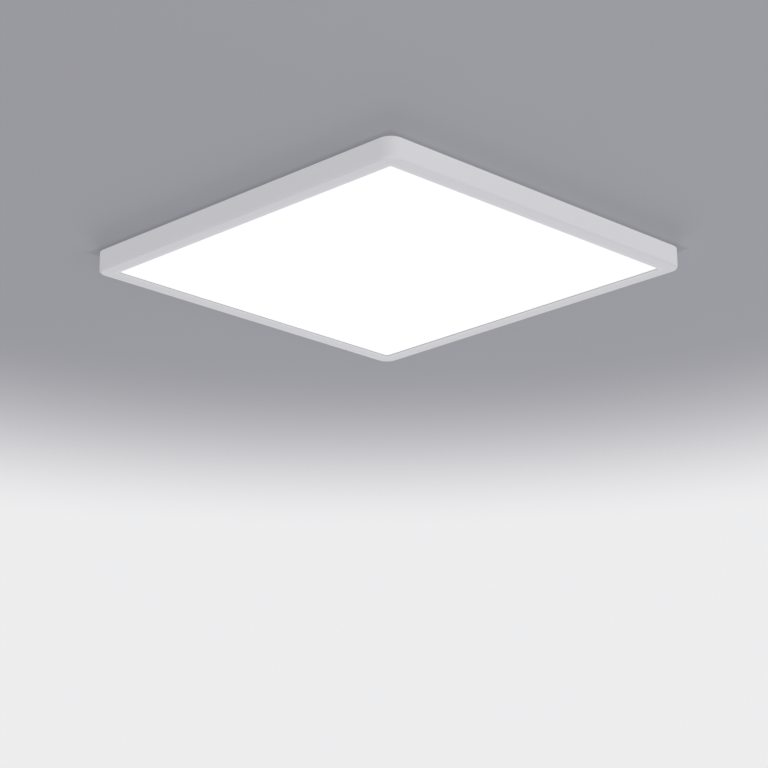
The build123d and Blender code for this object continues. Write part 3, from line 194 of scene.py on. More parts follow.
class Effects:
    """Surface effects that several materials share, each one a node group that is built once."""

    def __init__(self) -> None:
        """Builds every group."""
        relief = ("Height", "Tone")
        self.trees = {
            Effect.GRAIN: self.group(Effect.GRAIN, ("Scale",), relief, self.fill_grain),
            Effect.EDGES: self.group(Effect.EDGES, ("Radius",), ("Mask",), self.fill_edges),
            Effect.DUST: self.group(Effect.DUST, ("Scale", "Cover"), ("Mask",), self.fill_dust),
            Effect.ROLLED: self.group(Effect.ROLLED, ("Scale",), relief, self.fill_rolled),
            Effect.CELLS: self.group(Effect.CELLS, ("Scale",), relief, self.fill_cells),
        }

    @staticmethod
    def group(effect: Effect, inputs: Sequence[str], outputs: Sequence[str],
              fill: Callable[[Graph, bpy.types.Node], Sequence[Socket]]) -> bpy.types.NodeTree:
        """Makes one node group with value sockets.

        Args:
            effect: the effect, which gives the group its name.
            inputs: names of its input sockets.
            outputs: names of its output sockets.
            fill: fills the graph, and returns the sockets for the outputs.

        Returns:
            The group's tree.
        """
        tree = bpy.data.node_groups.new(effect.value, "ShaderNodeTree")
        for side, names in (("INPUT", inputs), ("OUTPUT", outputs)):
            for name in names:
                tree.interface.new_socket(name=name, in_out=side, socket_type="NodeSocketFloat")
        entry = tree.nodes.new("NodeGroupInput")
        way_out = tree.nodes.new("NodeGroupOutput")
        for result, socket in zip(fill(Graph(tree), entry), way_out.inputs):
            tree.links.new(result, socket)
        return tree

    @staticmethod
    def fill_grain(graph: Graph, entry: bpy.types.Node) -> Sequence[Socket]:
        """Fills in a spark-eroded mould's fine pits, and slow changes of tone.

        Args:
            graph: the group's graph.
            entry: the node that brings the inputs in.

        Returns:
            The height and the tone.
        """
        scale = entry.outputs["Scale"]
        fine = graph.noise(scale, 3.0)
        pits = graph.add("TexVoronoi", {"Vector": graph.place(), "Scale": scale}).outputs["Distance"]
        height = graph.sum("MULTIPLY_ADD", pits, 0.5, fine)
        tone = graph.noise(graph.sum("MULTIPLY", scale, 0.006), 2.0)
        return height, tone

    @staticmethod
    def fill_edges(graph: Graph, entry: bpy.types.Node) -> Sequence[Socket]:
        """Fills in a mask of outer edges, broken up a little.

        Args:
            graph: the group's graph.
            entry: the node that brings the inputs in.

        Returns:
            The mask.
        """
        bevel = graph.add("Bevel", {"Radius": entry.outputs["Radius"]}, samples=4)
        face = graph.add("NewGeometry").outputs["Normal"]
        facing = graph.add("VectorMath", {0: bevel.outputs[0], 1: face}, operation="DOT_PRODUCT")
        bent = graph.spread(facing.outputs["Value"], 0.98, 0.72, 0.0, 1.0)
        broken = graph.spread(graph.noise(180.0, 3.0), 0.35, 0.65, 0.4, 1.0)
        return (graph.sum("MULTIPLY", bent, broken),)

    @staticmethod
    def fill_dust(graph: Graph, entry: bpy.types.Node) -> Sequence[Socket]:
        """Fills in dust that lies in patches on what faces up.

        Args:
            graph: the group's graph.
            entry: the node that brings the inputs in.

        Returns:
            The mask.
        """
        upward = graph.spread(graph.axis("Z", graph.add("NewGeometry").outputs["Normal"]), 0.5, 1.0, 0.0, 1.0)
        patches = graph.spread(graph.noise(entry.outputs["Scale"], 5.0), 0.38, 0.72, 0.0, 1.0)
        lying = graph.sum("MULTIPLY", upward, patches)
        return (graph.sum("MULTIPLY", lying, entry.outputs["Cover"]),)

    @staticmethod
    def fill_rolled(graph: Graph, entry: bpy.types.Node) -> Sequence[Socket]:
        """Fills in long fine lines along Y, as rolling leaves them in sheet.

        Args:
            graph: the group's graph.
            entry: the node that brings the inputs in.

        Returns:
            The height and the tone.
        """
        lines = graph.noise(entry.outputs["Scale"], 4.0, graph.stretched((1.0, 0.02, 1.0)))
        wide = graph.noise(graph.sum("MULTIPLY", entry.outputs["Scale"], 0.05), 2.0)
        return lines, wide

    @staticmethod
    def fill_cells(graph: Graph, entry: bpy.types.Node) -> Sequence[Socket]:
        """Fills in small crystals of a plated coat, each with its own tone.

        Args:
            graph: the group's graph.
            entry: the node that brings the inputs in.

        Returns:
            The height and the tone.
        """
        cells = graph.add("TexVoronoi", {"Vector": graph.place(), "Scale": entry.outputs["Scale"]})
        tone = graph.axis("X", cells.outputs["Color"])
        return cells.outputs["Distance"], tone


class Skin:
    """One material under construction: a graph with a Principled shader."""

    def __init__(self, name: str, effects: Effects, roughness: float, metallic: float = 0.0) -> None:
        """Makes the material with its shader.

        Args:
            name: the material's name.
            effects: the shared groups.
            roughness: the shader's plain roughness.
            metallic: the shader's plain metallic value.
        """
        self.material = bpy.data.materials.new(name)
        self.material.use_nodes = True
        self.graph = Graph(self.material.node_tree)
        self.effects = effects
        self.shader = self.material.node_tree.nodes["Principled BSDF"]
        self.shader.inputs["Roughness"].default_value = roughness
        self.shader.inputs["Metallic"].default_value = metallic

    def use(self, effect: Effect, **values: float) -> bpy.types.Node:
        """Adds a shared effect with its own values.

        Args:
            effect: the effect.
            values: its inputs, by their names in small letters.

        Returns:
            The effect's node.
        """
        node = self.graph.tree.nodes.new("ShaderNodeGroup")
        node.node_tree = self.effects.trees[effect]
        for key, value in values.items():
            node.inputs[key.capitalize()].default_value = value
        return node

    def colour(self, source: Any) -> None:
        """Sets the base colour from a colour or a socket."""
        self.feed("Base Color", as_rgba(source))

    def feed(self, name: str, source: Any) -> None:
        """Sets one of the shader's inputs.

        Args:
            name: the input's name.
            source: its value, or the socket that feeds it.
        """
        if isinstance(source, Socket):
            self.graph.tree.links.new(source, self.shader.inputs[name])
        else:
            self.shader.inputs[name].default_value = source

    def mottle(self, tone: Socket, colour: Colour, dark: float, light: float) -> Socket:
        """Returns a colour that follows a tone from a darker to a lighter shade of itself."""
        return self.graph.blend(tone, shade(colour, dark), shade(colour, light))

    def rubbed(self, radius: float) -> Socket:
        """Returns the mask of outer edges, as wide as the radius."""
        return self.use(Effect.EDGES, radius=radius).outputs[0]

    def dusty(self, under: Any, dust: Colour, scale: float, cover: float) -> Socket:
        """Returns a colour with dust settled on it."""
        return self.graph.blend(self.use(Effect.DUST, scale=scale, cover=cover).outputs[0], under, dust)

    def roughen(self, tone: Socket, low: float, high: float) -> None:
        """Lets the roughness follow a tone between two values."""
        self.feed("Roughness", self.graph.spread(tone, 0.3, 0.7, low, high))

    def relief(self, height: Socket, depth: float, strength: Bump, radius: float = 0.0) -> None:
        """Adds a bump, over edges that are softened where a radius is given.

        Args:
            height: the relief, from 0 to 1.
            depth: the depth that 1 stands for, in metres.
            strength: how strongly the relief shows.
            radius: the softened edges' radius, in metres.
        """
        inputs: dict[str, Any] = {"Height": height, "Distance": depth, "Strength": strength.value}
        if radius:
            inputs["Normal"] = self.graph.add("Bevel", {"Radius": radius}, samples=4).outputs[0]
        self.feed("Normal", self.graph.add("Bump", inputs).outputs[0])


# ----- Finishes -----


class Finish:
    """A named look, which fills its own material."""

    name: str
    roughness: float
    metallic: ClassVar[float] = 0.0

    def make(self, effects: Effects) -> bpy.types.Material:
        """Makes the finish's material.

        Args:
            effects: the shared effects.

        Returns:
            The material.
        """
        skin = Skin(self.name, effects, self.roughness, self.metallic)
        self.fill(skin)
        return skin.material

    def fill(self, skin: Skin) -> None:
        """Fills the skin, in each finish's own way."""
        raise NotImplementedError(self.name)


@dataclass(frozen=True)
class Moulding(Finish):
    """A moulded plastic with fine grain, pale rubbed edges and a little dust."""

    name: str
    colour: Colour
    roughness: float = 0.5
    grain: float = 900.0
    depth: float = 0.00004
    edge: float = 0.0004
    wear: float = 0.25
    dust: float = 0.3
    coat: float = 0.0
    dust_colour: Colour = (0.46, 0.44, 0.41)

    def fill(self, skin: Skin) -> None:
        """Fills in the moulding.

        Args:
            skin: the material under construction.
        """
        grain = skin.use(Effect.GRAIN, scale=self.grain)
        rubbed = skin.graph.sum("MULTIPLY", skin.rubbed(self.edge), self.wear)
        base = skin.mottle(grain.outputs["Tone"], self.colour, dark=0.97, light=1.03)
        worn = skin.graph.blend(rubbed, base, shade(self.colour, 1.25))
        skin.colour(skin.dusty(worn, self.dust_colour, scale=22.0, cover=self.dust))
        skin.roughen(grain.outputs["Tone"], self.roughness - 0.05, self.roughness + 0.07)
        skin.relief(grain.outputs["Height"], self.depth, Bump.SOFT, self.edge)
        skin.feed("Coat Weight", self.coat)


@dataclass(frozen=True)
class LitMoulding(Moulding):
    """A moulding with a painted glow on its lip beside the lit plate, and painted shade on the lip's inner
    wall.
    """

    window: float = 0.229
    reach: float = 0.007
    wall_reach: float = 0.0002
    wall_shade: float = 0.72
    glow: float = 0.05

    def fill(self, skin: Skin) -> None:
        """Fills in the moulding, then paints shade on the lip's inner wall and a painted glow on the lip.

        Args:
            skin: the material under construction.
        """
        super().fill(skin)
        graph = skin.graph
        outward = graph.outward()
        # painted shade: the lip's inner wall beside the plate is darkened
        shaded_wall = graph.sum("LESS_THAN", outward, self.window + self.wall_reach)
        painted = skin.shader.inputs["Base Color"].links[0].from_socket
        skin.colour(graph.blend(shaded_wall, painted, shade(self.colour, self.wall_shade)))
        # painted glow: emission on the lip, fading away from the plate, stands in for the plate's light
        # falling on it
        lit = graph.spread(outward, self.window, self.window + self.reach, 1.0, 0.0)
        lit = graph.sum("MULTIPLY", lit, graph.sum("SUBTRACT", 1.0, shaded_wall))
        skin.feed("Emission Color", graph.blend(lit, (0.0, 0.0, 0.0), (1.0, 1.0, 1.0)))
        skin.feed("Emission Strength", self.glow)


@dataclass(frozen=True)
class PlatedSteel(Finish):
    """Bright plated steel with small crystals and rolling lines."""

    name: str
    colour: Colour = (0.60, 0.62, 0.64)
    roughness: float = 0.34
    cells: float = 420.0
    edge: float = 0.0003
    dust_colour: Colour = (0.42, 0.41, 0.39)
    metallic: ClassVar[float] = 1.0

    def fill(self, skin: Skin) -> None:
        """Fills in the plated coat.

        Args:
            skin: the material under construction.
        """
        cells = skin.use(Effect.CELLS, scale=self.cells)
        lines = skin.use(Effect.ROLLED, scale=700.0).outputs["Height"]
        base = skin.mottle(cells.outputs["Tone"], self.colour, dark=0.86, light=1.1)
        bright = skin.graph.blend(skin.rubbed(self.edge), base, shade(self.colour, 1.35))
        skin.colour(skin.dusty(bright, self.dust_colour, scale=30.0, cover=0.22))
        skin.roughen(lines, self.roughness - 0.09, self.roughness + 0.12)
        skin.relief(lines, 0.00002, Bump.FAINT, self.edge)


@dataclass(frozen=True)
class CoatedSheet(Finish):
    """A thin powder coat on sheet steel: slight orange peel, chipped edges and settled dust."""

    name: str
    colour: Colour
    roughness: float = 0.42
    peel: float = 480.0
    edge: float = 0.0004
    bare_metal: Colour = (0.40, 0.41, 0.43)
    dust_colour: Colour = (0.47, 0.45, 0.42)

    def fill(self, skin: Skin) -> None:
        """Fills in the coat.

        Args:
            skin: the material under construction.
        """
        peel = skin.use(Effect.GRAIN, scale=self.peel)
        lines = skin.use(Effect.ROLLED, scale=160.0)
        chipped = skin.graph.spread(skin.rubbed(self.edge), 0.55, 0.95, 0.0, 0.8)
        base = skin.mottle(lines.outputs["Tone"], self.colour, dark=0.96, light=1.03)
        bare = skin.graph.blend(chipped, base, self.bare_metal)
        skin.colour(skin.dusty(bare, self.dust_colour, scale=9.0, cover=0.35))
        skin.roughen(peel.outputs["Tone"], self.roughness - 0.06, self.roughness + 0.10)
        skin.relief(peel.outputs["Height"], 0.00005, Bump.FAINT, self.edge)


@dataclass(frozen=True)
class OpalSheet(Finish):
    """The lit opal plate: white, glowing evenly, a little brighter where the light strips stand."""

    name: str
    colour: Colour = (0.86, 0.86, 0.87)
    roughness: float = 0.32
    glow: float = 0.42
    half: float = 0.229
    border: float = 0.8

    def fill(self, skin: Skin) -> None:
        """Fills in the opal plate.

        Args:
            skin: the material under construction.
        """
        graph = skin.graph
        border = graph.spread(graph.outward(), self.half * self.border, self.half, 0.0, 1.0)
        cloud = graph.noise(7.0, 1.0)
        even = graph.sum("MULTIPLY_ADD", cloud, 0.25, border)
        skin.colour(skin.mottle(cloud, self.colour, dark=0.99, light=1.01))
        skin.feed("Emission Color", graph.blend(even, (0.97, 0.97, 0.975), (1.0, 1.0, 1.0)))
        skin.feed("Emission Strength", self.glow)
        skin.relief(skin.use(Effect.GRAIN, scale=1400.0).outputs["Height"], 0.00001, Bump.FAINT)


@dataclass(frozen=True)
class GuidePlate(Finish):
    """The clear plate with its printed dots, which grow towards the middle."""

    name: str
    colour: Colour = (0.90, 0.93, 0.94)
    ink: Colour = (0.97, 0.97, 0.97)
    roughness: float = 0.08
    dots: float = 500.0
    half: float = 0.234
    clearness: float = 0.7
    index: float = 1.49

    def fill(self, skin: Skin) -> None:
        """Fills in the plate and its dots.

        Args:
            skin: the material under construction.
        """
        graph = skin.graph
        flat = graph.stretched((1.0, 1.0, 0.0))
        cell = graph.add("TexVoronoi", {"Vector": flat, "Scale": self.dots, "Randomness": 0.0})
        size = graph.spread(graph.outward(), 0.0, self.half, 0.42, 0.2)
        dot = graph.sum("LESS_THAN", cell.outputs["Distance"], size)
        skin.colour(graph.blend(dot, self.colour, self.ink))
        skin.feed("Roughness", graph.spread(dot, 0.0, 1.0, 0.06, 0.6))
        skin.feed("Transmission Weight", self.clearness)
        skin.feed("IOR", self.index)
        skin.relief(dot, 0.00001, Bump.SOFT)


@dataclass(frozen=True)
class Film(Finish):
    """A matt white film with a slight crinkle."""

    name: str
    colour: Colour = (0.88, 0.88, 0.89)
    roughness: float = 0.55

    def fill(self, skin: Skin) -> None:
        """Fills in the film.

        Args:
            skin: the material under construction.
        """
        tone = skin.use(Effect.ROLLED, scale=60.0).outputs["Tone"]
        skin.colour(skin.mottle(tone, self.colour, dark=0.97, light=1.0))
        skin.roughen(tone, 0.45, 0.62)
        skin.relief(skin.graph.noise(38.0, 4.0), 0.0002, Bump.FAINT)


@dataclass(frozen=True)
class SoftFoam(Finish):
    """Closed-cell foam: a pale, dull body with small dented cells, darkened inside each as painted shade."""

    name: str
    colour: Colour = (0.80, 0.80, 0.78)
    roughness: float = 0.9
    cells: float = 1500.0
    sheen: float = 0.25

    def fill(self, skin: Skin) -> None:
        """Fills in the foam.

        Args:
            skin: the material under construction.
        """
        cells = skin.use(Effect.CELLS, scale=self.cells)
        inside = skin.graph.spread(cells.outputs["Height"], 0.1, 0.45, 0.0, 1.0)
        # painted shade: the body is darkened in each cell's dent
        skin.colour(skin.mottle(inside, self.colour, dark=0.72, light=1.0))
        skin.feed("Sheen Weight", self.sheen)
        skin.relief(inside, 0.00015, Bump.FULL)


@dataclass(frozen=True)
class CircuitMask(Finish):
    """A circuit board's solder mask with the copper tracks showing through, and bare tinned pads."""

    name: str
    colour: Colour
    track: Colour
    roughness: float = 0.38
    pitch: float = 260.0
    pads: float = 0.13
    tin: Colour = (0.66, 0.66, 0.63)

    def fill(self, skin: Skin) -> None:
        """Fills in the mask, the tracks and the pads.

        Args:
            skin: the material under construction.
        """
        graph = skin.graph
        blocks = {"Vector": graph.place(), "Scale": self.pitch * 0.4, "Randomness": 0.6}
        block = graph.add("TexVoronoi", blocks, distance="MANHATTAN", feature="F1")
        tracks = graph.spread(graph.axis("Y", block.outputs["Color"]), 0.45, 0.55, 0.0, 1.0)
        dots = graph.add("TexVoronoi", {"Vector": graph.place(), "Scale": self.pitch, "Randomness": 0.35})
        pads = graph.sum("LESS_THAN", dots.outputs["Distance"], self.pads)
        skin.colour(graph.blend(pads, graph.blend(tracks, self.colour, self.track), self.tin))
        skin.feed("Metallic", pads)
        skin.roughen(skin.use(Effect.GRAIN, scale=2200.0).outputs["Tone"], 0.3, 0.45)
        skin.relief(graph.sum("ADD", tracks, pads), 0.00003, Bump.SOFT)


@dataclass(frozen=True)
class LightChip(Finish):
    """Small light chips: a white cup round a yellow window."""

    name: str
    cup: Colour = (0.85, 0.85, 0.83)
    window: Colour = (0.88, 0.68, 0.16)
    roughness: float = 0.3
    height: float = -0.021
    half: float = 0.0009

    def fill(self, skin: Skin) -> None:
        """Fills in the cup and its window.

        Args:
            skin: the material under construction.
        """
        graph = skin.graph
        above = graph.sum("ABSOLUTE", graph.sum("SUBTRACT", graph.axis("Z"), self.height))
        inside = graph.spread(above, self.half, self.half * 0.8, 0.0, 1.0)
        yellow = skin.mottle(graph.noise(6000.0, 2.0), self.window, dark=0.85, light=1.1)
        skin.colour(graph.blend(inside, self.cup, yellow))
        skin.feed("Roughness", graph.spread(inside, 0.0, 1.0, 0.45, 0.2))
        skin.relief(inside, 0.0001, Bump.SOFT)


@dataclass(frozen=True)
class Insulation(Finish):
    """Smooth insulation of a lead, with a second colour along its upper side where it has one."""

    name: str
    colour: Colour
    stripe: Colour | None = None
    roughness: float = 0.33
    dust_colour: Colour = (0.42, 0.40, 0.37)

    def fill(self, skin: Skin) -> None:
        """Fills in the insulation.

        Args:
            skin: the material under construction.
        """
        graph = skin.graph
        grain = skin.use(Effect.GRAIN, scale=700.0)
        base = skin.mottle(grain.outputs["Tone"], self.colour, dark=0.88, light=1.1)
        if self.stripe:
            upward = graph.axis("Z", graph.add("NewGeometry").outputs["Normal"])
            base = graph.blend(graph.spread(upward, 0.80, 0.84, 0.0, 1.0), base, self.stripe)
        skin.colour(skin.dusty(base, self.dust_colour, scale=40.0, cover=0.2))
        skin.roughen(grain.outputs["Tone"], 0.26, 0.42)
        skin.relief(grain.outputs["Height"], 0.00002, Bump.FAINT)
        skin.feed("Coat Weight", 0.15)


@dataclass(frozen=True)
class Mineral(Finish):
    """Pressed and fired or sintered stuff: a dull body with fine specks."""

    name: str
    colour: Colour
    roughness: float = 0.6
    specks: float = 2600.0

    def fill(self, skin: Skin) -> None:
        """Fills in the body and its specks.

        Args:
            skin: the material under construction.
        """
        cells = skin.use(Effect.CELLS, scale=self.specks)
        speckled = skin.mottle(cells.outputs["Tone"], self.colour, dark=0.75, light=1.3)
        skin.colour(skin.graph.blend(skin.rubbed(0.0003), speckled, shade(self.colour, 1.8)))
        skin.roughen(cells.outputs["Tone"], self.roughness - 0.08, self.roughness + 0.08)
        skin.relief(cells.outputs["Height"], 0.00003, Bump.SOFT, 0.0002)


@dataclass(frozen=True)
class CappedFuse(Finish):
    """A fuse: a pale tube with a bright metal cap at each end."""

    name: str
    middle: float
    bare: float
    roughness: float = 0.25
    cap: Colour = (0.68, 0.68, 0.66)

    def fill(self, skin: Skin) -> None:
        """Fills in the tube and its caps.

        Args:
            skin: the material under construction.
        """
        graph = skin.graph
        along = graph.sum("ABSOLUTE", graph.sum("SUBTRACT", graph.axis("Y"), self.middle))
        cap = graph.sum("GREATER_THAN", along, self.bare)
        grain = skin.use(Effect.GRAIN, scale=1500.0)
        tube = graph.blend(grain.outputs["Tone"], (0.74, 0.73, 0.69), (0.82, 0.81, 0.78))
        skin.colour(graph.blend(cap, tube, self.cap))
        skin.feed("Metallic", cap)
        skin.roughen(grain.outputs["Tone"], 0.2, 0.34)
        skin.relief(grain.outputs["Height"], 0.00002, Bump.FAINT, 0.0002)


@dataclass(frozen=True)
class WoundTape(Finish):
    """Tape over a winding: thin layers round the upright axis, with their edges showing."""

    name: str
    colour: Colour
    roughness: float = 0.36
    layers: float = 900.0

    def fill(self, skin: Skin) -> None:
        """Fills in the layers of tape.

        Args:
            skin: the material under construction.
        """
        wave = {"Vector": skin.graph.place(), "Scale": self.layers, "Distortion": 0.6}
        bands = skin.graph.add("TexWave", wave, bands_direction="Z").outputs["Fac"]
        skin.colour(skin.mottle(bands, self.colour, dark=0.8, light=1.0))
        skin.roughen(skin.use(Effect.GRAIN, scale=900.0).outputs["Tone"], 0.28, 0.45)
        skin.relief(bands, 0.00005, Bump.SOFT, 0.0002)


@dataclass(frozen=True)
class Enamel(Finish):
    """Enamelled copper wire: a warm metal under a clear coat."""

    name: str
    colour: Colour = (0.66, 0.27, 0.10)
    roughness: float = 0.28
    coat: float = 0.6
    metallic: ClassVar[float] = 1.0

    def fill(self, skin: Skin) -> None:
        """Fills in the wire's enamel.

        Args:
            skin: the material under construction.
        """
        tone = skin.graph.noise(900.0, 2.0)
        skin.colour(skin.mottle(tone, self.colour, dark=0.8, light=1.15))
        skin.roughen(tone, 0.2, 0.36)
        skin.relief(tone, 0.00001, Bump.FAINT)
        skin.feed("Coat Weight", self.coat)


SCREW_METAL = PlatedSteel("plated_screws", roughness=0.28, cells=900.0)


class Wardrobe:
    """Makes each finish's material once, and puts it on nodes and pieces."""

    def __init__(self) -> None:
        """Builds the shared effects."""
        self.effects = Effects()
        self.made: dict[str, bpy.types.Material] = {}

    def material(self, finish: Finish) -> bpy.types.Material:
        """Gives the finish's material, made at its first use.

        Args:
            finish: the finish.

        Returns:
            The material.
        """
        if finish.name not in self.made:
            self.made[finish.name] = finish.make(self.effects)
        return self.made[finish.name]

    def dress(self, finish: Finish, *nodes: str) -> None:
        """Puts a finish on CAD nodes.

        Args:
            finish: the finish.
            nodes: the nodes' names.
        """
        for name in nodes:
            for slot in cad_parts[name].material_slots:
                slot.material = self.material(finish)
            log.info("%s wears %s", name, finish.name)


# ----- Mesh code -----


def new_piece(name: str, mesh: bpy.types.Mesh, finish: Finish, wardrobe: Wardrobe,
              body: str) -> bpy.types.Object:
    """Puts a mesh into the scene as a piece of the lamp.

    Args:
        name: the piece's name.
        mesh: its mesh, in metres, where it belongs.
        finish: its finish.
        wardrobe: where materials come from.
        body: the body it rides on.

    Returns:
        The new object.
    """
    piece = bpy.data.objects.new(name, mesh)
    bpy.context.scene.collection.objects.link(piece)
    mesh.materials.append(wardrobe.material(finish))
    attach(piece, body)
    log.info("made %s, %d faces", name, len(mesh.polygons))
    return piece


def sweep(mesh: bmesh.types.BMesh, path: Sequence[Vector], section: Sequence[tuple[float, float]],
          across: Vector) -> None:
    """Adds a closed solid whose section runs along a path without twisting.

    Args:
        mesh: the mesh to add to.
        path: the middle line's points.
        section: the section's corners, as steps along across and along the direction square to it.
        across: the section's first direction at the start of the path.
    """
    rings = []
    for index, point in enumerate(path):
        before = path[max(index - 1, 0)]
        after = path[min(index + 1, len(path) - 1)]
        heading = (after - before).normalized()
        across = (across - heading * across.dot(heading)).normalized()
        other = heading.cross(across)
        rings.append([mesh.verts.new(point + across * first + other * second) for first, second in section])
    corners = range(len(section))
    for ring, following in zip(rings, rings[1:]):
        for step in corners:
            nearby = step - 1
            mesh.faces.new((ring[nearby], ring[step], following[step], following[nearby]))
    mesh.faces.new(list(reversed(rings[0])))
    mesh.faces.new(rings[-1])


def disc(radius: float, sides: int) -> list[tuple[float, float]]:
    """Returns the corners of a round section."""
    turns = [2.0 * math.pi * step / sides for step in range(sides)]
    return [(radius * math.cos(turn), radius * math.sin(turn)) for turn in turns]


def slab(width: float, thickness: float, cut: float) -> list[tuple[float, float]]:
    """Makes a flat section with its four corners cut.

    Args:
        width: its width.
        thickness: its thickness.
        cut: how far each corner is cut.

    Returns:
        The section's corners.
    """
    wide, thick = width / 2, thickness / 2
    return [(wide, cut - thick), (wide, thick - cut), (wide - cut, thick), (cut - wide, thick),
            (-wide, thick - cut), (-wide, cut - thick), (cut - wide, -thick), (wide - cut, -thick)]


def rounded(points: Sequence[Vector], radius: float, steps: int) -> list[Vector]:
    """Rounds the bends of a line.

    Args:
        points: the line's ends and bends.
        radius: the radius at each bend.
        steps: how many straight pieces make each bend.

    Returns:
        The points of the rounded line.
    """
    line = [points[0]]
    for before, bend, after in zip(points, points[1:], points[2:]):
        back = (before - bend).normalized()
        ahead = (after - bend).normalized()
        half_turn = back.angle(ahead) / 2
        reach = radius / math.tan(half_turn)
        middle = bend + (back + ahead).normalized() * (radius / math.sin(half_turn))
        start = (bend + back * reach - middle).normalized()
        end = (bend + ahead * reach - middle).normalized()
        line += [middle + start.slerp(end, step / steps).normalized() * radius for step in range(steps + 1)]
    return [*line, points[-1]]


def finished_mesh(name: str, shape: bmesh.types.BMesh, smooth: bool) -> bpy.types.Mesh:
    """Turns a shape under construction into a mesh with its faces turned outwards.

    Args:
        name: the mesh's name.
        shape: the shape, which is freed.
        smooth: whether its faces are shaded smoothly.

    Returns:
        The mesh.
    """
    bmesh.ops.recalc_face_normals(shape, faces=shape.faces)
    mesh = bpy.data.meshes.new(name)
    shape.to_mesh(mesh)
    shape.free()
    if smooth:
        mesh.shade_smooth()
    return mesh


# ----- Sub-assemblies -----


@dataclass
class LitPanel:
    """The frame, the lit stack inside it and the chassis that closes it."""

    wardrobe: Wardrobe
    foam_half: float = 0.232
    foam_cut: float = 0.014
    foam_step: float = 0.012
    hole_radius: float = 0.0045
    hole_sides: int = 20
    edge_dip: float = 0.00035
    swell: float = 0.00015
    waves: tuple[float, float] = (61.0, 53.0)
    merge: float = 1e-7
    inside: float = 0.98
    holes: tuple[tuple[float, float], ...] = (
        (-0.028, -0.1387), (-0.028, -0.1013), (-0.028, 0.1013), (-0.028, 0.1387),
        (0.028, -0.1387), (0.028, -0.1013), (0.028, 0.1013), (0.028, 0.1387),
        (-0.078, -0.0295), (-0.078, 0.1395),
        (-0.1065, -0.0895), (-0.0575, -0.0505),
        (-0.076, -0.0395),
    )

    def outline(self) -> list[tuple[float, float]]:
        """Makes the foam's eight-sided outline.

        Returns:
            Its corners, anticlockwise.
        """
        half = self.foam_half
        near = half - self.foam_cut
        quarter = [(half, -near), (half, near)]
        corners = []
        for turn in range(4):
            sine, cosine = round(math.sin(turn * math.pi / 2)), round(math.cos(turn * math.pi / 2))
            corners += [(x * cosine - y * sine, x * sine + y * cosine) for x, y in quarter]
        return corners

    def clear_of_edges(self, x: float, y: float) -> bool:
        """Tells whether a point of the grid keeps its distance from the outline and the holes.

        Args:
            x: the point's X.
            y: the point's Y.

        Returns:
            True where it does.
        """
        inner = self.foam_half - self.foam_step / 2
        if abs(x) > inner or abs(y) > inner or abs(x) + abs(y) > 2 * inner - self.foam_cut:
            return False
        keep = self.hole_radius + self.foam_step / 3
        return all(math.hypot(x - hole_x, y - hole_y) > keep for hole_x, hole_y in self.holes)

    def foam_mesh(self) -> bpy.types.Mesh:
        """Makes the foam sheet: flat on the film, slightly swollen, thinner along its cut edges.

        Returns:
            The mesh.
        """
        low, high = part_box("foam_sheet")
        points = self.outline()
        loops = [list(range(len(points)))]
        for hole_x, hole_y in self.holes:
            start = len(points)
            for step in range(self.hole_sides):
                turn = 2.0 * math.pi * step / self.hole_sides
                points.append((hole_x + self.hole_radius * math.cos(turn),
                               hole_y + self.hole_radius * math.sin(turn)))
            loops.append(list(range(start + self.hole_sides - 1, start - 1, -1)))
        rim = len(points)
        steps = int(self.foam_half / self.foam_step)
        grid = [(column * self.foam_step, row * self.foam_step)
                for column in range(-steps, steps + 1) for row in range(-steps, steps + 1)]
        points += [place for place in grid if self.clear_of_edges(*place)]
        edges = [(loop[step - 1], loop[step]) for loop in loops for step in range(len(loop))]
        flat = delaunay_2d_cdt([Vector(place) for place in points], edges, [], 0, self.merge)
        kept = [face for face in flat[2] if not self.in_hole(flat[0], face)]
        sheet = bmesh.new()
        top, bottom = [], []
        for index, place in enumerate(flat[0]):
            on_rim = min(flat[3][index] or [rim]) < rim
            wave = math.sin(self.waves[0] * place.x) * math.cos(self.waves[1] * place.y)
            dip = self.edge_dip if on_rim else self.swell * (1.0 + wave) / 2
            rise = self.edge_dip if on_rim else 0.0
            top.append(sheet.verts.new((place.x, place.y, high.z - dip)))
            bottom.append(sheet.verts.new((place.x, place.y, low.z + rise)))
        for face in kept:
            sheet.faces.new([top[index] for index in face])
            sheet.faces.new([bottom[index] for index in reversed(face)])
        open_edges = [edge for edge in sheet.edges if len(edge.link_faces) == 1]
        below = dict(zip(top, bottom))
        for edge in open_edges:
            if edge.verts[0] in below and edge.verts[1] in below:
                corner = edge.link_loops[0]
                first, second = corner.vert, corner.link_loop_next.vert
                sheet.faces.new((second, first, below[first], below[second]))
        loose = [vert for vert in sheet.verts if not vert.link_faces]
        bmesh.ops.delete(sheet, geom=loose, context="VERTS")
        return finished_mesh("foam", sheet, smooth=False)

    def in_hole(self, places: Sequence[Vector], face: Iterable[int]) -> bool:
        """Tells whether a triangle's middle lies inside one of the holes.

        Args:
            places: the sheet's points.
            face: the triangle's corners, by their numbers.

        Returns:
            True where it does.
        """
        corners = [places[index] for index in face]
        middle = sum(corners, Vector((0.0, 0.0))) / len(corners)
        return any(math.hypot(middle.x - hole_x, middle.y - hole_y) < self.hole_radius * self.inside
                   for hole_x, hole_y in self.holes)

    def make(self) -> None:
        """Builds the foam and dresses the nodes of the panel."""
        finish = SoftFoam("closed_cell_foam")
        foam = new_piece("foam_pad", self.foam_mesh(), finish, self.wardrobe, "lamp")
        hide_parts("foam_sheet")
        dress = self.wardrobe.dress
        dress(LitMoulding("frame_moulding", (0.76, 0.76, 0.78), roughness=0.46, grain=1100.0, depth=0.00002,
                          edge=0.0005, wear=0.12, dust=0.1), "frame")
        dress(OpalSheet("opal_plate"), "diffuser")
        dress(GuidePlate("dotted_guide"), "light_guide")
        dress(Film("white_film"), "reflector_sheet")
        dress(CoatedSheet("coated_chassis", (0.66, 0.67, 0.68)), "chassis")
        dress(SCREW_METAL, "chassis_screws")


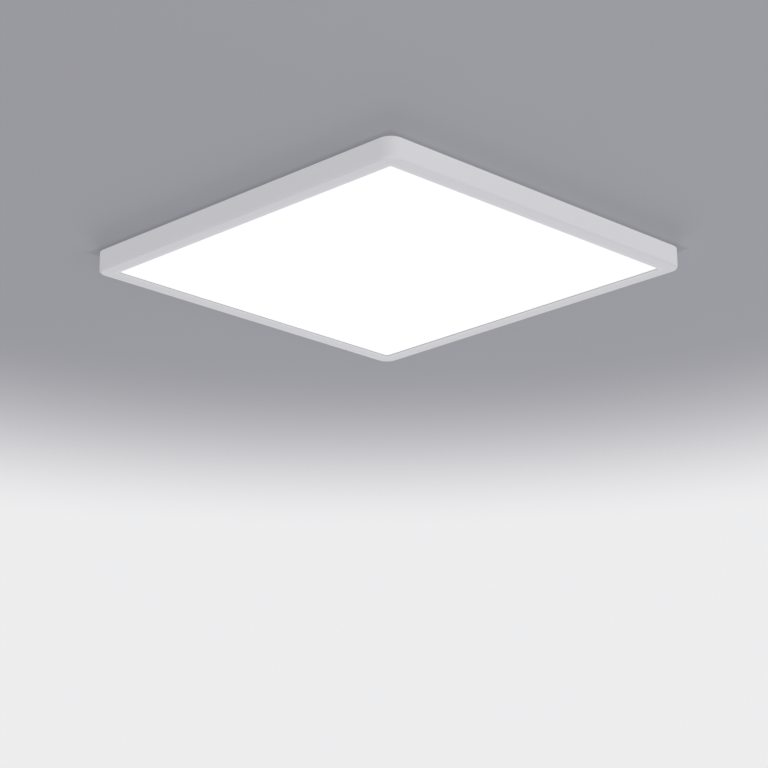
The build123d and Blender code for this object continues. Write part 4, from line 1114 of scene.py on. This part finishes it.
@dataclass
class LightStrips:
    """The four strips along the guide's edges, and the jumpers between them."""

    wardrobe: Wardrobe
    sides: tuple[str, ...] = ("left", "right", "front", "rear")

    def make(self) -> None:
        """Dresses the strips."""
        dress = self.wardrobe.dress
        board = CircuitMask("white_strip_board", (0.80, 0.81, 0.79), (0.72, 0.73, 0.70))
        dress(board, *[f"led_board_{side}" for side in self.sides])
        dress(LightChip("light_chips"), *[f"led_chips_{side}" for side in self.sides])
        dress(Insulation("jumper_insulation", (0.72, 0.72, 0.70)), "strip_jumpers")
        dress(Moulding("grommet_rubber", (0.05, 0.05, 0.05), roughness=0.75, edge=0.0002), "lead_grommet")


@dataclass
class CeilingMount:
    """The bracket on the ceiling with its bushing, and the hangers that hook onto it."""

    wardrobe: Wardrobe

    def make(self) -> None:
        """Dresses the bracket, the bushing and the hangers."""
        dress = self.wardrobe.dress
        dress(PlatedSteel("plated_bracket", (0.62, 0.64, 0.66), roughness=0.36), "ceiling_bracket")
        dress(PlatedSteel("plated_hangers", (0.58, 0.60, 0.62), roughness=0.38, cells=500.0),
              "hanger_front", "hanger_rear")
        dress(PlatedSteel("rivet_metal", (0.66, 0.67, 0.68), roughness=0.3, cells=1200.0), "hanger_rivets")
        dress(Moulding("bushing_moulding", (0.07, 0.07, 0.075), roughness=0.55, edge=0.0003), "cable_bushing")


@dataclass
class Driver:
    """The flat driver case with its board and components."""

    wardrobe: Wardrobe
    core_height: float = 0.005
    core_outer: float = 0.008
    core_inner: float = 0.0034
    wire_radius: float = 0.0004
    turns: int = 6
    turn_pitch: float = 15.0
    samples: int = 40
    wire_gap: float = 0.0001
    wire_sides: int = 8
    squareness: float = 4.0
    cap_length: float = 0.003

    def turn_section(self, part: float) -> tuple[float, float]:
        """Gives a point of one turn's rounded rectangle round the ring's section.

        Args:
            part: how far round the turn, from 0 to 1.

        Returns:
            The distance from the ring's axis and the height over its lower face.
        """
        clear = self.wire_radius + self.wire_gap
        half_width = (self.core_outer - self.core_inner) / 2 + clear
        half_height = self.core_height / 2 + clear
        angle = 2.0 * math.pi * part
        cosine, sine = math.cos(angle), math.sin(angle)
        total = abs(cosine) ** self.squareness + abs(sine) ** self.squareness
        reach = total ** (-1.0 / self.squareness)
        middle = (self.core_outer + self.core_inner) / 2
        return middle + half_width * reach * cosine, self.core_height / 2 + half_height * reach * sine

    def winding_path(self, sector: Sector, centre: Vector) -> list[Vector]:
        """Leads the wire over one half of the ring, turn after turn.

        Args:
            sector: the half.
            centre: the middle of the ring's lower face.

        Returns:
            The points of the wire's middle line.
        """
        points = []
        total = self.turns * self.samples
        for step in range(total + 1):
            distance, height = self.turn_section(step / self.samples)
            turn = math.radians((step / total - 0.5) * self.turns * self.turn_pitch + sector.value)
            points.append(centre + Vector((distance * math.cos(turn), distance * math.sin(turn), height)))
        return points

    def windings(self) -> None:
        """Builds the choke's two windings as real turns of wire."""
        low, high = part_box("driver_choke_core")
        centre = Vector(((low.x + high.x) / 2, (low.y + high.y) / 2, low.z))
        wound = bmesh.new()
        for sector in Sector:
            facing = math.radians(sector.value)
            outward = Vector((math.cos(facing), math.sin(facing), 0.0))
            wire = disc(self.wire_radius, self.wire_sides)
            sweep(wound, self.winding_path(sector, centre), wire, outward)
        mesh = finished_mesh("choke_turns", wound, smooth=True)
        piece = new_piece("choke_turns", mesh, Enamel("enamelled_copper"), self.wardrobe, "lamp")
        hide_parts("driver_choke_windings")

    def make(self) -> None:
        """Builds the windings and dresses the case and the components."""
        self.windings()
        dress = self.wardrobe.dress
        case = Moulding("driver_moulding", (0.70, 0.70, 0.69), roughness=0.52, grain=700.0, depth=0.00006)
        dress(case, "driver_base", "driver_cover")
        board = CircuitMask("green_board", (0.03, 0.17, 0.07), (0.05, 0.24, 0.10), pitch=330.0)
        dress(board, "driver_board")
        dress(SCREW_METAL, "driver_board_screws", "driver_screws")
        low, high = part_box("driver_fuse")
        bare = (high.y - low.y) / 2 - self.cap_length
        dress(CappedFuse("capped_fuse", (low.y + high.y) / 2, bare), "driver_fuse")
        dress(Mineral("blue_resin", (0.05, 0.16, 0.42), roughness=0.35, specks=1500.0), "driver_varistor")
        film_case = Moulding("yellow_case", (0.72, 0.50, 0.07), roughness=0.36, edge=0.0003)
        dress(film_case, "driver_film_capacitor")
        dress(Mineral("sintered_core", (0.055, 0.055, 0.06)), "driver_choke_core", "transformer_core")
        dress(Moulding("device_moulding", (0.035, 0.035, 0.037), roughness=0.6, edge=0.0002),
              "driver_semiconductors")
        dress(WoundTape("yellow_tape", (0.74, 0.55, 0.09)), "transformer_winding")
        dress(Moulding("can_sleeve", (0.045, 0.05, 0.07), roughness=0.3, edge=0.0003, coat=0.3),
              "electrolytic_capacitors")


@dataclass
class TerminalBox:
    """The hinged terminal box, its block, springs, buttons and cable clamp."""

    wardrobe: Wardrobe
    buttons: dict[str, Colour] = field(default_factory=lambda: {
        "live_button": (0.72, 0.72, 0.70),
        "neutral_button": (0.05, 0.20, 0.52),
        "earth_button": (0.09, 0.40, 0.12),
    })
    leaf_line: tuple[tuple[float, float], ...] = (
        (-0.0790, -0.0145), (-0.0945, -0.0145), (-0.0945, -0.0125), (-0.0791, -0.01022))
    leaf_bend: float = 0.0008
    leaf_bend_steps: int = 8
    leaf_cut: float = 0.00006
    leaf_width: float = 0.0044
    leaf_thickness: float = 0.0004
    press: float = 0.0015

    def leaf(self, pole: str) -> None:
        """Builds the leaf spring under one button.

        Args:
            pole: live, neutral or earth.
        """
        low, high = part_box(f"{pole}_clamp_spring")
        row = (low.y + high.y) / 2
        path = rounded([Vector((x, row, z)) for x, z in self.leaf_line], self.leaf_bend,
                       self.leaf_bend_steps)
        strip = bmesh.new()
        section = slab(self.leaf_width, self.leaf_thickness, self.leaf_cut)
        sweep(strip, path, section, Vector((0.0, 1.0, 0.0)))
        mesh = finished_mesh(f"{pole}_leaf", strip, smooth=False)
        finish = PlatedSteel("spring_metal", (0.64, 0.64, 0.64), roughness=0.2, cells=2500.0)
        piece = new_piece(f"{pole}_spring_leaf", mesh, finish, self.wardrobe, "lamp")
        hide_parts(f"{pole}_clamp_spring")
        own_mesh(piece)

    def make(self) -> None:
        """Builds the springs and dresses the box and what is in it."""
        for pole in ("live", "neutral", "earth"):
            self.leaf(pole)
        dress = self.wardrobe.dress
        dress(Moulding("terminal_moulding", (0.73, 0.73, 0.72), roughness=0.48, grain=800.0),
              "terminal_base", "terminal_cover", "cord_clamp")
        dress(Moulding("block_moulding", (0.60, 0.61, 0.60), roughness=0.44, edge=0.0003), "terminal_block")
        dress(PlatedSteel("tinned_metal", (0.70, 0.68, 0.63), roughness=0.26, cells=1500.0),
              "terminal_contacts", "earth_lug")
        for node, colour in self.buttons.items():
            dress(Moulding(f"{node}_moulding", colour, roughness=0.3, edge=0.0003, dust=0.1, coat=0.2), node)
        dress(SCREW_METAL, "cord_clamp_screws", "terminal_screws", "terminal_hinge_pin", "earth_washer")
        dress(PlatedSteel("turned_brass", (0.72, 0.53, 0.22), roughness=0.27, cells=1500.0), "earth_screw")


@dataclass
class Wiring:
    """The leads between the terminals, the driver and the strips, and their clips."""

    wardrobe: Wardrobe
    colours: dict[str, Colour] = field(default_factory=lambda: {
        "live_lead": (0.19, 0.075, 0.03),
        "neutral_lead": (0.03, 0.12, 0.46),
        "positive_lead": (0.55, 0.03, 0.02),
        "negative_lead": (0.02, 0.02, 0.02),
    })

    def make(self) -> None:
        """Dresses the leads and the clips."""
        dress = self.wardrobe.dress
        for node, colour in self.colours.items():
            dress(Insulation(f"{node}_insulation", colour), node)
        dress(Insulation("earth_insulation", (0.06, 0.32, 0.05), stripe=(0.80, 0.66, 0.04)), "earth_lead")
        dress(Moulding("clip_moulding", (0.62, 0.62, 0.60), roughness=0.45, edge=0.0003), "lead_clips")


# ----- Studio -----


@dataclass(frozen=True)
class ViewPoint:
    """Where the photograph was taken from: fitted to the lamp's edges, in panel sides, degrees and pixels."""

    side: float = 0.5
    place: Point = (-4.0725, -3.9919, -2.1719)
    yaw: float = 45.43
    pitch: float = 17.84
    roll: float = -0.555
    focal_pixels: float = 2532.3
    image_pixels: float = 768.0
    sensor: float = 36.0
    far_clip: float = 100.0

    def make(self) -> None:
        """Makes the scene's camera."""
        yaw, pitch, roll = (math.radians(angle) for angle in (self.yaw, self.pitch, self.roll))
        ahead = Vector((math.sin(yaw) * math.cos(pitch), math.cos(yaw) * math.cos(pitch), math.sin(pitch)))
        level = Vector((math.cos(yaw), -math.sin(yaw), 0.0))
        down = ahead.cross(level)
        right = level * math.cos(roll) - down * math.sin(roll)
        up = -(level * math.sin(roll) + down * math.cos(roll))
        data = bpy.data.cameras.new("camera")
        data.sensor_width = self.sensor
        data.lens = self.focal_pixels / self.image_pixels * self.sensor
        data.clip_end = self.far_clip
        camera = bpy.data.objects.new("camera", data)
        bpy.context.scene.collection.objects.link(camera)
        turned = Matrix((right, up, -ahead)).transposed().to_4x4()
        camera.matrix_world = Matrix.Translation(Vector(self.place) * self.side) @ turned
        bpy.context.scene.camera = camera


@dataclass(frozen=True)
class SoftLight:
    """A large soft lamp that looks at the middle of the part."""

    name: str
    place: Point
    width: float
    power: float
    glints: bool = True
    colour: Colour = (1.0, 1.0, 1.0)

    def make(self) -> None:
        """Makes the lamp, which shows in gloss only where it glints."""
        data = bpy.data.lights.new(self.name, "AREA")
        data.shape = "DISK"
        data.size = self.width
        data.energy = self.power
        data.color = self.colour
        lamp = bpy.data.objects.new(self.name, data)
        bpy.context.scene.collection.objects.link(lamp)
        lamp.visible_glossy = self.glints
        lamp.location = self.place
        lamp.rotation_mode = "QUATERNION"
        lamp.rotation_quaternion = (-Vector(self.place)).to_track_quat("-Z", "Y")


@dataclass(frozen=True)
class Backdrop:
    """A wide plane that shows from one side only and fades into the pale surroundings."""

    name: str
    height: float
    faces_up: bool
    colour: Colour
    fade: tuple[float, float]
    fade_middle: Point = (0.0, 0.0, 0.0)
    contact_shadow: float = 0.0
    outline: float = 0.25
    contact_shadow_reach: tuple[float, float] = (0.002, 0.009)
    half: float = 14.0
    roughness: float = 0.9
    specular: float = 0.2

    def make(self) -> None:
        """Makes the plane and its one-sided material."""
        plane = bmesh.new()
        signs = ((-1, -1), (1, -1), (1, 1), (-1, 1))
        corners = [(x * self.half, y * self.half) for x, y in signs]
        if not self.faces_up:
            corners.reverse()
        plane.faces.new([plane.verts.new((x, y, self.height)) for x, y in corners])
        mesh = bpy.data.meshes.new(self.name)
        plane.to_mesh(mesh)
        plane.free()
        mesh.materials.append(self.material())
        piece = bpy.data.objects.new(self.name, mesh)
        bpy.context.scene.collection.objects.link(piece)
        piece.visible_shadow = False
        piece.visible_diffuse = False
        piece.visible_glossy = False
        piece.visible_transmission = False
        piece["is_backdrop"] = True

    def paint(self, graph: Graph) -> Socket:
        """Fills in a matt paint with slow changes of tone, and a painted contact shadow round the part.

        Args:
            graph: the material's graph.

        Returns:
            The paint's colour.
        """
        tone = graph.noise(1.3, 3.0)
        paint = graph.blend(tone, shade(self.colour, 0.97), shade(self.colour, 1.03))
        # painted shadow: the paint darkens in a thin band round the part's outline
        outward = graph.sum("SUBTRACT", graph.outward(), self.outline)
        painted_shadow = graph.spread(outward, *self.contact_shadow_reach, self.contact_shadow, 0.0)
        return graph.blend(painted_shadow, paint, (0.0, 0.0, 0.0))

    def material(self) -> bpy.types.Material:
        """Makes the paint's material, clear when seen from behind and far from the part.

        Returns:
            The material.
        """
        material = bpy.data.materials.new(self.name)
        material.use_nodes = True
        graph = Graph(material.node_tree)
        shader = material.node_tree.nodes["Principled BSDF"]
        shader.inputs["Roughness"].default_value = self.roughness
        shader.inputs["Specular IOR Level"].default_value = self.specular
        graph.tree.links.new(self.paint(graph), shader.inputs["Base Color"])
        apart = graph.add("VectorMath", {0: graph.place(), 1: self.fade_middle}, operation="DISTANCE")
        distance = apart.outputs["Value"]
        reach = {"Value": distance, "From Min": self.fade[0], "From Max": self.fade[1]}
        far = graph.add("MapRange", reach, interpolation_type="SMOOTHSTEP").outputs["Result"]
        behind = graph.add("NewGeometry").outputs["Backfacing"]
        clear = graph.add("BsdfTransparent").outputs[0]
        hidden = graph.sum("MAXIMUM", behind, far)
        chosen = graph.add("MixShader", {0: hidden, 1: shader.outputs[0], 2: clear}).outputs[0]
        graph.tree.links.new(chosen, material.node_tree.nodes["Material Output"].inputs["Surface"])
        return material


@dataclass(frozen=True)
class Surroundings:
    """The light that comes from all round, and the pale colour that the camera sees behind the part."""

    light: Colour = (0.48, 0.48, 0.50)
    seen: Colour = (0.85, 0.85, 0.86)

    def make(self) -> None:
        """Makes the world."""
        world = bpy.data.worlds.new("surroundings")
        world.use_nodes = True
        bpy.context.scene.world = world
        graph = Graph(world.node_tree)
        path = graph.add("LightPath").outputs
        direct = graph.sum("MAXIMUM", path["Is Camera Ray"], path["Is Glossy Ray"])
        seen = graph.sum("MAXIMUM", direct, path["Is Transmission Ray"])
        colour = graph.blend(seen, self.light, self.seen)
        background = world.node_tree.nodes["Background"]
        graph.tree.links.new(colour, background.inputs["Color"])
        background.inputs["Strength"].default_value = 1.0


@dataclass(frozen=True)
class Studio:
    """The camera, the soft lamps and the plain backdrops."""

    ceiling_gap: float = 0.0004
    floor_gap: float = 0.0005
    lamps: tuple[SoftLight, ...] = (
        SoftLight("key_below", (1.2, -3.4, -1.9), 3.2, 18.0),
        SoftLight("front_below", (-2.4, -2.4, -1.4), 3.2, 30.0),
        SoftLight("low_behind", (2.2, 2.2, -0.75), 1.8, 45.0, glints=False),
        SoftLight("under", (-0.6, -0.4, -3.2), 3.0, 7.0),
        SoftLight("key_above", (1.2, -1.8, 3.6), 4.0, 60.0, glints=False),
        SoftLight("fill_above", (-2.6, 2.4, 2.2), 2.4, 15.0, glints=False),
    )

    def make(self) -> None:
        """Builds the studio round the part."""
        ViewPoint().make()
        Surroundings().make()
        for lamp in self.lamps:
            lamp.make()
        low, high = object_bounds()
        # the ceiling carries a painted contact shadow round the lamp's outline
        Backdrop("ceiling", high.z + self.ceiling_gap, False, (0.42, 0.42, 0.45), (0.8, 1.7),
                 fade_middle=(-0.25, -0.25, 0.0), contact_shadow=0.16).make()
        Backdrop("floor", low.z - self.floor_gap, True, (0.80, 0.80, 0.81), (0.8, 3.5)).make()
        bpy.context.scene.view_settings.view_transform = "Standard"


def main() -> None:
    """Builds and dresses each sub-assembly in order, then the studio."""
    logging.basicConfig(level=logging.INFO, format="%(name)s: %(message)s")
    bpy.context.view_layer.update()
    wardrobe = Wardrobe()
    for assembly in (LitPanel, LightStrips, CeilingMount, Driver, TerminalBox, Wiring):
        assembly(wardrobe).make()
        log.info("%s is done", assembly.__name__)
    Studio().make()


if __name__ == "__main__":
    main()
